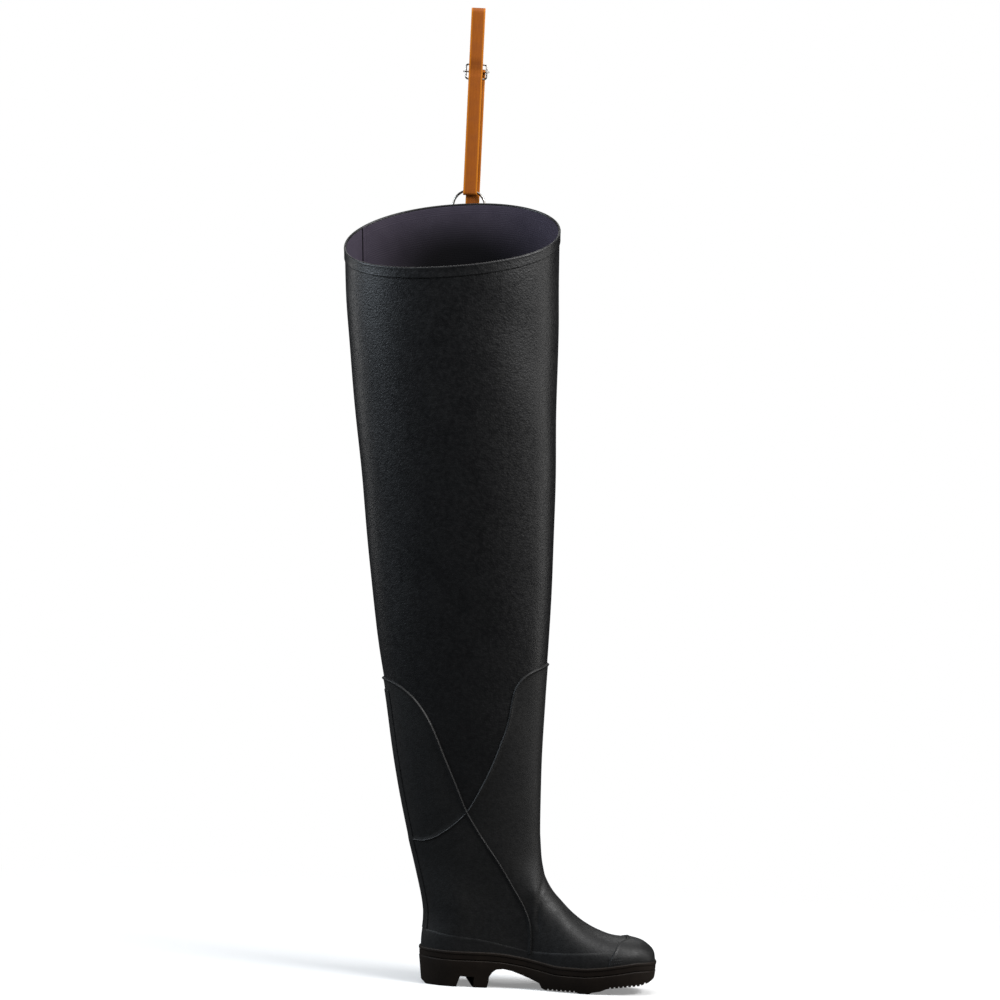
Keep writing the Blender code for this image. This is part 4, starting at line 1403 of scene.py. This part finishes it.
def notch_block():
    """Return the block that cuts the notch between the heel's lugs, lower towards the outer side."""
    slope = (NOTCH_BACK_TOP - NOTCH_BACK) / NOTCH_TOP
    below = SOLE_BLANK_FLOOR
    outer_ridge = NOTCH_BACK + slope * NOTCH_TOP_OUTER
    sides = (
        (-NOTCH_REACH, NOTCH_FRONT_INNER, NOTCH_BACK_TOP, NOTCH_FRONT_INNER, NOTCH_TOP),
        (NOTCH_REACH, NOTCH_FRONT_OUTER, outer_ridge, outer_ridge + NOTCH_RIDGE_OUTER, NOTCH_TOP_OUTER),
    )
    points = []
    for y, front, back_top, front_top, top in sides:
        lean = (front_top - front) / top
        points += [
            (NOTCH_BACK + slope * below, y, below),
            (front + lean * below, y, below),
            (front_top, y, top),
            (back_top, y, top),
        ]
    faces = [(0, 1, 2, 3), (7, 6, 5, 4), (0, 4, 5, 1), (1, 5, 6), (1, 6, 2), (2, 6, 7, 3), (3, 7, 4, 0)]
    return points, faces


FOOTBED_PROFILE = (
    # drop from its top, inset
    (4.0, 0.0),
    (0.9, 0.0),
    (0.25, 0.35),
    (0.0, 1.1),
)


def make_insole():
    """The footbed inside the upper."""
    edge = surface(full_turn(SOLE_COLUMNS), 0.0)
    directions = plan_directions(edge)
    towards_toe = smoothstep(edge[:, 0:1], INSOLE_NARROWS_FROM, FRONT_X[0])
    levels = []
    for drop, inset in FOOTBED_PROFILE:
        level = edge - directions * (INSOLE_MARGIN + inset + INSOLE_TOE_MARGIN * towards_toe)
        level[:, 2] = ledge_height(level[:, 0]) + GAP + INSOLE_THICKNESS - drop
        levels.append(level)
    return closed_loft("footbed", levels, FOOTBED_CLOTH)


# Straps.


def turn(depth, height, radius, start, end, count=18):
    """Return an arc in a strap's path, seen from the toe, between two angles in degrees."""
    angles = np.radians(np.linspace(start, end, count + 1))
    return [(depth + radius * math.cos(angle), height + radius * math.sin(angle)) for angle in angles]


def sway(start, end, count=16):
    """Return a soft step in a strap's path between two upright stretches."""
    path = []
    for t in np.linspace(0.0, 1.0, count + 1):
        ease = (1.0 - math.cos(math.pi * t)) / 2
        path.append((start[0] + (end[0] - start[0]) * ease, start[1] + (end[1] - start[1]) * t))
    return path


def strap_section(width, thickness):
    """Return a flat strap's rounded outline: places across it and through it."""
    corners = (
        (-width / 2, 0.0),
        (-width / 2, -thickness / 2),
        (width / 2, -thickness / 2),
        (width / 2, thickness / 2),
        (-width / 2, thickness / 2),
        (-width / 2, 0.0),
    )
    return softened(corners, STRAP_CORNER)[:-1]


SAME_PLACE = 0.01


def divided(path, longest):
    """Return a path without doubled points, and with none further apart than longest."""
    line = [path[0]]
    for point in path[1:]:
        gap = math.dist(point, line[-1])
        if gap < SAME_PLACE:
            continue
        start = line[-1]
        for i in range(1, math.ceil(gap / longest) + 1):
            share = i / math.ceil(gap / longest)
            line.append(tuple(a + (b - a) * share for a, b in zip(start, point)))
    return np.array(line)


def make_strap(name, middle_x, width, thickness, path):
    """Make a flat strap with rounded edges that follows a path of depths and heights."""
    line = divided(path, STRAP_STEP)
    tangent = unit(np.gradient(line, axis=0))
    aside = np.stack([-tangent[:, 1], tangent[:, 0]], axis=1)
    run = run_along(line)
    section = strap_section(width, thickness)
    points = []
    places = []
    for middle, off, along in zip(line, aside, run):
        for across, through in section:
            depth, height = middle + off * through
            points.append((middle_x + across, depth, height))
            places.append((across * STRAP_WIDTH / width, along, 0.0))
    columns = len(section)
    faces = grid_faces(len(line), columns, wrapped=True)
    last = (len(line) - 1) * columns
    faces.append(list(range(columns)))
    faces.append([last + column for column in range(columns - 1, -1, -1)])
    made = mesh_piece(name, points, faces, STRAP_RUBBER)
    note_places(made, "strap", places)
    turned_outward(made)
    shade_by_angle(made, STRAP_SHARP_FROM)
    return made


def ring_inside(half_width, off_middle):
    """Return how far above or below its middle the ring's inside lies at a strap's edge."""
    return math.sqrt((RING_RADIUS - RING_WIRE / 2) ** 2 - (half_width + off_middle) ** 2)


def make_ring_keeper():
    """The folded tab that holds the ring's lower wire."""
    turn_height = RING_Z - ring_inside(KEEPER_WIDTH / 2, 0.0) + GAP - (KEEPER_TURN - HALF_KEEPER)
    sway_from = turn_height - KEEPER_SWAY_BELOW_TURN
    path = [
        (KEEPER_DEPTH, KEEPER_FROM),
        *turn(RING_Y, turn_height, KEEPER_TURN, 180.0, 0.0),
        *sway((RING_Y + KEEPER_TURN, sway_from), (KEEPER_OUTER_DEPTH, sway_from - KEEPER_SWAY)),
        (KEEPER_OUTER_DEPTH, KEEPER_FROM),
    ]
    return make_strap("ring_tab", RING_X, KEEPER_WIDTH, KEEPER_THICKNESS, path)


def make_anchor_strap():
    """The strap from the shaft, behind the ring, up to the buckle's bar."""
    path = [
        (ANCHOR_LOW_DEPTH, KEEPER_FROM - ANCHOR_BELOW_KEEPER),
        *sway((ANCHOR_LOW_DEPTH, ANCHOR_TO_RING[0]), (ANCHOR_RING_DEPTH, ANCHOR_TO_RING[1])),
        *sway((ANCHOR_RING_DEPTH, ANCHOR_FROM_RING[0]), (ANCHOR_HIGH_DEPTH, ANCHOR_FROM_RING[1])),
        *sway((ANCHOR_HIGH_DEPTH, ANCHOR_TO_BAR[0]), (BAR_DEPTH + BAR_STRAP_TURN, ANCHOR_TO_BAR[1])),
        *turn(BAR_DEPTH, BUCKLE_Z, BAR_STRAP_TURN, 0.0, 185.0),
    ]
    return make_strap("shaft_strap", ANCHOR_X, STRAP_WIDTH, STRAP_THICKNESS, path)


def make_belt_strap():
    """The strap in front of the buckle, folded round the ring below and into a belt loop above.

    The belt loop's end hooks round the top wire of the buckle's frame.
    """
    off_middle = abs(STRAP_X - RING_X)
    fold_height = RING_Z + ring_inside(STRAP_WIDTH / 2, off_middle) - GAP + STRAP_TURN - HALF_STRAP
    sway_to = fold_height + FOLD_SWAY_OVER_TURN
    loop_turn = (LOOP_GAP + STRAP_THICKNESS) / 2
    loop_height = STRAP_TOP - HALF_STRAP - loop_turn
    below = BUCKLE_Z - BUCKLE_HEIGHT / 2 + BUCKLE_WIRE / 2 + GAP
    above = BUCKLE_Z + BUCKLE_HEIGHT / 2 - BUCKLE_WIRE / 2 - GAP
    hook_depth = FRAME_DEPTH + BUCKLE_TURN
    path = [
        (BELT_PLY_DEPTH, FOLD_END),
        *sway((BELT_PLY_DEPTH, sway_to + FOLD_SWAY), (RING_Y + STRAP_TURN, sway_to)),
        *turn(RING_Y, fold_height, STRAP_TURN, 0.0, -180.0),
        *sway((BELT_DEPTH, below), (BELT_BAR_DEPTH, BUCKLE_Z - HALF_BAR_SEAT)),
        *sway((BELT_BAR_DEPTH, BUCKLE_Z + HALF_BAR_SEAT), (BELT_DEPTH, above)),
        *turn(BELT_DEPTH + loop_turn, loop_height, loop_turn, 180.0, 0.0),
        *sway((BELT_DEPTH + 2 * loop_turn, loop_height - LOOP_SWAY_FROM), (hook_depth, LOOP_DROPS_TO)),
        *turn(FRAME_DEPTH, BUCKLE_Z + BUCKLE_HEIGHT / 2, BUCKLE_TURN, 0.0, HOOK_END),
    ]
    return make_strap("belt_loop_strap", STRAP_X, STRAP_WIDTH, STRAP_THICKNESS, path)


# The bent wire and the small moulded ribs are made by Geometry Nodes.


def new_tree(name, sockets):
    """Start a node tree with named inputs; return it with the outputs of its input node."""
    tree = bpy.data.node_groups.new(name, "GeometryNodeTree")
    tree.interface.new_socket("Geometry", in_out="INPUT", socket_type="NodeSocketGeometry")
    tree.interface.new_socket("Geometry", in_out="OUTPUT", socket_type="NodeSocketGeometry")
    for socket, kind in (*sockets, ("Finish", "NodeSocketMaterial")):
        tree.interface.new_socket(socket, in_out="INPUT", socket_type=kind)
    return tree, tree.nodes.new("NodeGroupInput").outputs


def end_tree(tree, geometry, given):
    """End a tree: shade smooth, make every copy real and give it its material."""
    smooth = node(tree, "GeometryNodeSetShadeSmooth", {"Geometry": geometry}).outputs[0]
    real = node(tree, "GeometryNodeRealizeInstances", {"Geometry": smooth}).outputs[0]
    coated = node(tree, "GeometryNodeSetMaterial", {"Geometry": real, "Material": given["Finish"]})
    result = tree.nodes.new("NodeGroupOutput")
    tree.links.new(coated.outputs[0], result.inputs[0])
    return tree


def wire_tree():
    """Build the tree that turns a line into round wire."""
    sockets = (
        ("Wire", "NodeSocketFloat"),
        ("Sides", "NodeSocketInt"),
    )
    tree, given = new_tree("bent_wire", sockets)
    line = node(tree, "GeometryNodeMeshToCurve", {"Mesh": given["Geometry"]}).outputs[0]
    radius = reckoned(tree, "MULTIPLY", given["Wire"], 0.5)
    section_inputs = {"Radius": radius, "Resolution": given["Sides"]}
    section = node(tree, "GeometryNodeCurvePrimitiveCircle", section_inputs).outputs[0]
    sweep_inputs = {"Curve": line, "Profile Curve": section, "Fill Caps": True}
    sweep = node(tree, "GeometryNodeCurveToMesh", sweep_inputs).outputs[0]
    return end_tree(tree, sweep, given)


def noted_direction(tree, name):
    """Return a direction that make_nibs() kept on each point."""
    settings = {"data_type": "FLOAT_VECTOR"}
    return node(tree, "GeometryNodeInputNamedAttribute", {"Name": name}, **settings).outputs[0]


def nib_tree():
    """Build the tree that sets a small rounded nib on each point, along and out as the point says."""
    sizes = ("Length", "Width", "Height")
    tree, given = new_tree("moulded_nibs", [(size, "NodeSocketFloat") for size in sizes])
    ball = node(tree, "GeometryNodeMeshUVSphere", {"Segments": 12, "Rings": 8, "Radius": 0.5}).outputs[0]
    size_inputs = {axis: given[size] for axis, size in zip("XYZ", sizes)}
    size = node(tree, "ShaderNodeCombineXYZ", size_inputs).outputs[0]
    nib = node(tree, "GeometryNodeTransform", {"Geometry": ball, "Scale": size}).outputs[0]
    along = {"Vector": noted_direction(tree, "along")}
    lengthways = node(tree, "FunctionNodeAlignRotationToVector", along, axis="X").outputs[0]
    out = {"Rotation": lengthways, "Vector": noted_direction(tree, "outward")}
    standing = node(tree, "FunctionNodeAlignRotationToVector", out, axis="Z", pivot_axis="X").outputs[0]
    points = node(tree, "GeometryNodeMeshToPoints", {"Mesh": given["Geometry"]}).outputs[0]
    set_inputs = {"Points": points, "Instance": nib, "Rotation": standing}
    return end_tree(tree, node(tree, "GeometryNodeInstanceOnPoints", set_inputs).outputs[0], given)


def grown(made, tree, **values):
    """Run a tree on a piece with the given inputs, and keep the plain mesh that it makes."""
    growing = made.modifiers.new(tree.name, "NODES")
    growing.node_group = tree
    for item in tree.interface.items_tree:
        if item.in_out == "INPUT" and item.name in values:
            growing[item.identifier] = values[item.name]
    settle(made)
    return made


BENT_WIRE = wire_tree()
MOULDED_NIBS = nib_tree()
WIRE_SIDES = 20


def line_object(name, points, edges):
    """Make an object of points in millimetres, with edges between them, for a tree to build on."""
    mesh = bpy.data.meshes.new(name)
    mesh.from_pydata((np.array(points) * METRES).tolist(), edges, [])
    made = bpy.data.objects.new(name, mesh)
    bpy.context.scene.collection.objects.link(made)
    return made


def make_wire(name, path, wire, closed):
    """Make a piece of round wire along a path."""
    count = len(path)
    edges = [(i, i + 1) for i in range(count - 1)]
    if closed:
        edges.append((count - 1, 0))
    made = line_object(name, path, edges)
    grown(made, BENT_WIRE, Wire=wire * METRES, Sides=WIRE_SIDES, Finish=STEEL)
    turned_outward(made)
    return made


def make_nibs(name, places, along, outward, size, finish):
    """Make small rounded nibs at places, each along one direction and standing out in another."""
    made = line_object(name, places, [])
    for title, vectors in (("along", along), ("outward", outward)):
        note = made.data.attributes.new(title, "FLOAT_VECTOR", "POINT")
        note.data.foreach_set("vector", np.array(vectors, np.float32).ravel())
    length, width, height = (value * METRES for value in size)
    return grown(made, MOULDED_NIBS, Length=length, Width=width, Height=height, Finish=finish)


def make_ring():
    """The ring that stands on the outer side of the rim."""
    circle = turn(RING_X, RING_Z, RING_RADIUS, 0.0, 360.0, RING_STEPS)[:-1]
    return make_wire("strap_ring", [(x, RING_Y, z) for x, z in circle], RING_WIRE, True)


def make_buckle_frame():
    """The buckle's wire frame."""
    path = []
    for right, up, start in ((1, 1, 0.0), (-1, 1, 90.0), (-1, -1, 180.0), (1, -1, 270.0)):
        middle_x = BUCKLE_X + right * (BUCKLE_WIDTH / 2 - BUCKLE_CORNER)
        middle_z = BUCKLE_Z + up * (BUCKLE_HEIGHT / 2 - BUCKLE_CORNER)
        for x, z in turn(middle_x, middle_z, BUCKLE_CORNER, start, start + 90.0, count=10):
            path.append((x, FRAME_DEPTH, z))
    return make_wire("buckle_wire", path, BUCKLE_WIRE, True)


def make_buckle_bar():
    """The buckle's bar, whose ends curl round the frame's sides."""
    right_x = BUCKLE_X + BUCKLE_WIDTH / 2
    left_x = BUCKLE_X - BUCKLE_WIDTH / 2
    curl = turn(left_x, FRAME_DEPTH, BAR_TURN, 260.0, 90.0)
    curl += turn(right_x, FRAME_DEPTH, BAR_TURN, 90.0, -80.0)
    return make_wire("buckle_cross_bar", [(x, y, BUCKLE_Z) for x, y in curl], BAR_WIRE, False)


RIVET_SIDES = 32
RIVET_PROFILE = (
    # radius, height over the strap
    (4.0, -0.3),
    (4.0, 0.35),
    (3.75, 0.75),
    (3.2, 1.08),
    (2.3, 1.3),
    (1.2, 1.38),
)


def make_rivet(number, height):
    """The domed head of a rivet on the anchor strap."""
    depth = ANCHOR_LOW_DEPTH + HALF_STRAP + GAP
    points = []
    for radius, rise in RIVET_PROFILE:
        circle = turn(RIVET_X, height, radius, 0.0, 360.0, RIVET_SIDES)[:-1]
        points += [(x, depth + rise, z) for x, z in circle]
    faces = grid_faces(len(RIVET_PROFILE), RIVET_SIDES, wrapped=True)
    last = (len(RIVET_PROFILE) - 1) * RIVET_SIDES
    faces.append([last + i for i in range(RIVET_SIDES)])
    faces.append(list(range(RIVET_SIDES - 1, -1, -1)))
    made = mesh_piece(f"strap_rivet_{number}", points, faces, STEEL)
    turned_outward(made)
    shade_by_angle(made, RIVET_SHARP_FROM)
    return made


# The first rib's x and its height over the ledge, and the step to the next column and row.
KNURL_FROM = (191.5, 2.6)
KNURL_STEP = (2.6, 3.1)
KNURL_COLUMNS = 6
KNURL_ROWS = 3
# How far each rib leans up and forward; then its length, width and height.
KNURL_SLANT = (0.8, 0.6)
KNURL_SIZE = (3.0, 1.0, 0.9)
# Where the sole's rib has ticks, from x to x.
TICKS_ON = (226.0, 239.0)
TICK_STAND_OUT = 3.3
TICK_DROP = 12.6
TICK_SIZE = (2.6, 0.8, 0.8)


def make_cap_knurl():
    """Short slanting ribs at the foot of the toe cap's edge, on both sides."""
    places = []
    along = []
    outward = []
    spots = [(column, row) for column in range(KNURL_COLUMNS) for row in range(KNURL_ROWS)]
    for side in (1.0, -1.0):
        for column, row in spots:
            x = KNURL_FROM[0] + KNURL_STEP[0] * (column + 0.5 * (row % 2))
            z = float(ledge_height(x)) + KNURL_FROM[1] + KNURL_STEP[1] * row
            angle, number = locate(x, z)
            angle = angle * side
            upward, out = surface_frame(angle, number)
            forward = np.cross(out, upward) * -side
            places.append(skin(angle, number, np.array(TOE_CAP_FACE)))
            along.append(upward * KNURL_SLANT[0] + forward * KNURL_SLANT[1])
            outward.append(out)
    return make_nibs("toe_knurl", places, along, outward, KNURL_SIZE, FOOT_RUBBER)


def make_rib_ticks():
    """Fine upright ticks on the sole's rib, near the toe."""
    edge = surface(full_turn(SOLE_COLUMNS), 0.0)
    directions = plan_directions(edge)
    chosen = (edge[:, 0] > TICKS_ON[0]) & (edge[:, 0] < TICKS_ON[1])
    chosen = chosen & (np.arange(SOLE_COLUMNS) % 2 == 0)
    outward = directions[chosen]
    places = edge[chosen] + outward * TICK_STAND_OUT
    places[:, 2] = ledge_height(places[:, 0]) - TICK_DROP
    upright = np.tile((0.0, 0.0, 1.0), (len(places), 1))
    return make_nibs("rib_ticks", places, upright, outward, TICK_SIZE, SOLE_RUBBER)


# The boot, put together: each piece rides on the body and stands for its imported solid.

PIECES = (
    # piece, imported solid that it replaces, finish slot
    (make_upper(), "upper", "shaft_rubber"),
    (make_lining(), None, "shaft_rubber"),
    (make_lining_lap(), None, "shaft_rubber"),
    (make_hem(), "rim_band", "shaft_rubber"),
    (make_back_panel(), "back_panel", "foot_rubber"),
    (make_front_panel(), "front_panel", "foot_rubber"),
    (make_foxing(), "foxing_band", "foot_rubber"),
    (make_toe_cap(), "toe_cap", "foot_rubber"),
    (make_back_stay(), "back_stay", "foot_rubber"),
    (make_cap_knurl(), None, "foot_rubber"),
    (make_outsole(), "outsole", "sole_rubber"),
    (make_rib_ticks(), None, "sole_rubber"),
    (make_insole(), "insole", "footbed"),
    (make_ring_keeper(), "ring_keeper", "strap_rubber"),
    (make_anchor_strap(), "anchor_strap", "strap_rubber"),
    (make_belt_strap(), "belt_strap", "strap_rubber"),
    (make_ring(), "ring", "steel"),
    (make_buckle_frame(), "buckle_frame", "steel"),
    (make_buckle_bar(), "buckle_bar", "steel"),
    (make_rivet(1, RIVET_HEIGHTS[0]), "rivet_1", "steel"),
    (make_rivet(2, RIVET_HEIGHTS[1]), "rivet_2", "steel"),
)

for piece, solid, slot in PIECES:
    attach(piece, "root")
    if solid is not None:
        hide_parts(solid)


# Camera: a long lens from the inner side, a little above the knee, rolled as in the photograph.

CAMERA_PLACE = Vector((0.0348364, -7.0, 0.98))
CAMERA_AIM = Vector((0.0348364, 0.0, 0.5847828))
CAMERA_ROLL = math.radians(2.7)
SENSOR = 36.0
MILLIMETRES_SEEN = 1200.0


def make_camera():
    """Place the camera so that the frame is 1.2 metres across where it aims."""
    data = bpy.data.cameras.new("camera")
    camera = bpy.data.objects.new("camera", data)
    bpy.context.scene.collection.objects.link(camera)
    ahead = (CAMERA_AIM - CAMERA_PLACE).normalized()
    level = Vector((1.0, 0.0, 0.0))
    above = level.cross(ahead)
    right = level * math.cos(CAMERA_ROLL) + above * math.sin(CAMERA_ROLL)
    up = above * math.cos(CAMERA_ROLL) - level * math.sin(CAMERA_ROLL)
    turned = Matrix((right, up, -ahead)).transposed().to_4x4()
    camera.matrix_world = Matrix.Translation(CAMERA_PLACE) @ turned
    data.sensor_width = SENSOR
    data.lens = SENSOR * (CAMERA_AIM - CAMERA_PLACE).length / (MILLIMETRES_SEEN * METRES)
    data.clip_start = 0.1
    data.clip_end = 200.0
    bpy.context.scene.camera = camera


# Studio: a pale floor that runs out to a pale horizon, and soft lights.


FLOOR_REACH = 60000.0
FLOOR_SIDES = 64
FLOOR_SEEN = (0.90, 0.90, 0.90)
FLOOR_FOR_LIGHT = (0.07, 0.07, 0.07)
WHITE = (1.0, 1.0, 1.0, 1.0)
WORLD_COLOUR = (0.9, 0.94, 1.0, 1.0)
WORLD_STRENGTH = 0.035


def make_floor():
    """A wide pale floor, which turns as bright as the horizon far from the boot."""
    circle = turn(0.0, 0.0, FLOOR_REACH, 0.0, 360.0, FLOOR_SIDES)[:-1]
    points = [(x, y, 0.0) for x, y in circle]
    finish, tree, shader = blank_finish("studio_floor", Roughness=0.9, Specular_IOR_Level=0.1)
    place = object_place(tree)
    away = node(tree, "ShaderNodeVectorMath", {0: place}, operation="LENGTH").outputs["Value"]
    grain = noise(tree, place, 60.0, 2.0)
    tree.links.new(spread_to(tree, grain, 0.3, 0.7, 0.86, 0.92), shader.inputs["Roughness"])
    seen = node(tree, "ShaderNodeLightPath").outputs["Is Camera Ray"]
    tree.links.new(blended(tree, seen, FLOOR_FOR_LIGHT, FLOOR_SEEN), shader.inputs["Base Color"])
    share = reckoned(tree, "MULTIPLY", spread_to(tree, away, 0.25, 1.1, 0.25, 1.0), seen)
    glow = node(tree, "ShaderNodeEmission", {"Color": WHITE, "Strength": 1.0})
    mixed = node(tree, "ShaderNodeMixShader", {0: share, 1: shader.outputs[0], 2: glow.outputs[0]})
    tree.links.new(mixed.outputs[0], tree.nodes["Material Output"].inputs["Surface"])
    floor = mesh_piece("studio_floor", points, [list(range(FLOOR_SIDES))], finish, smooth=False)


def make_world():
    """White behind the boot; a dim even light for the boot itself."""
    world = bpy.data.worlds.new("studio")
    world.use_nodes = True
    bpy.context.scene.world = world
    tree = world.node_tree
    seen = node(tree, "ShaderNodeLightPath").outputs["Is Camera Ray"]
    dim = tree.nodes["Background"]
    dim.inputs["Color"].default_value = WORLD_COLOUR
    dim.inputs["Strength"].default_value = WORLD_STRENGTH
    bright = node(tree, "ShaderNodeBackground", {"Color": WHITE, "Strength": 1.0})
    mixed = node(tree, "ShaderNodeMixShader", {0: seen, 1: dim.outputs[0], 2: bright.outputs[0]})
    tree.links.new(mixed.outputs[0], tree.nodes["World Output"].inputs["Surface"])


SOFTBOXES = (
    # name, place, aim, width, height, watts, colour
    ("left_strip", (-1.45, -0.55, 1.3), (0.0, 0.0, 0.9), 0.9, 0.9, 28.0, (0.80, 0.90, 1.0)),
    ("left_edge", (-1.5, 0.5, 0.9), (0.0, 0.0, 0.7), 0.4, 1.2, 5.5, (1.0, 1.0, 1.0)),
    ("right_strip", (1.9, 0.1, 0.7), (0.0, 0.0, 0.5), 0.5, 1.6, 9.0, (1.0, 0.99, 0.97)),
    ("right_front", (1.6, -0.95, 1.8), (0.0, 0.0, 1.1), 1.1, 0.9, 60.0, (1.0, 1.0, 1.0)),
    ("overhead", (0.3, -0.5, 2.8), (0.0, 0.0, 0.0), 1.6, 1.2, 34.0, (1.0, 1.0, 1.0)),
    ("back_wash", (0.0, 2.4, 2.4), (0.0, 0.0, 0.2), 2.6, 1.2, 24.0, (1.0, 1.0, 1.0)),
)


def make_softbox(name, place, aim, width, height, watts, colour):
    """Hang a rectangular soft light that points at its aim."""
    data = bpy.data.lights.new(name, "AREA")
    data.shape = "RECTANGLE"
    data.size = width
    data.size_y = height
    data.energy = watts
    data.color = colour
    light = bpy.data.objects.new(name, data)
    bpy.context.scene.collection.objects.link(light)
    light.location = place
    light.rotation_euler = (Vector(aim) - Vector(place)).to_track_quat("-Z", "Y").to_euler()


make_camera()
make_floor()
make_world()
for softbox in SOFTBOXES:
    make_softbox(*softbox)
bpy.context.scene.view_settings.view_transform = "Standard"
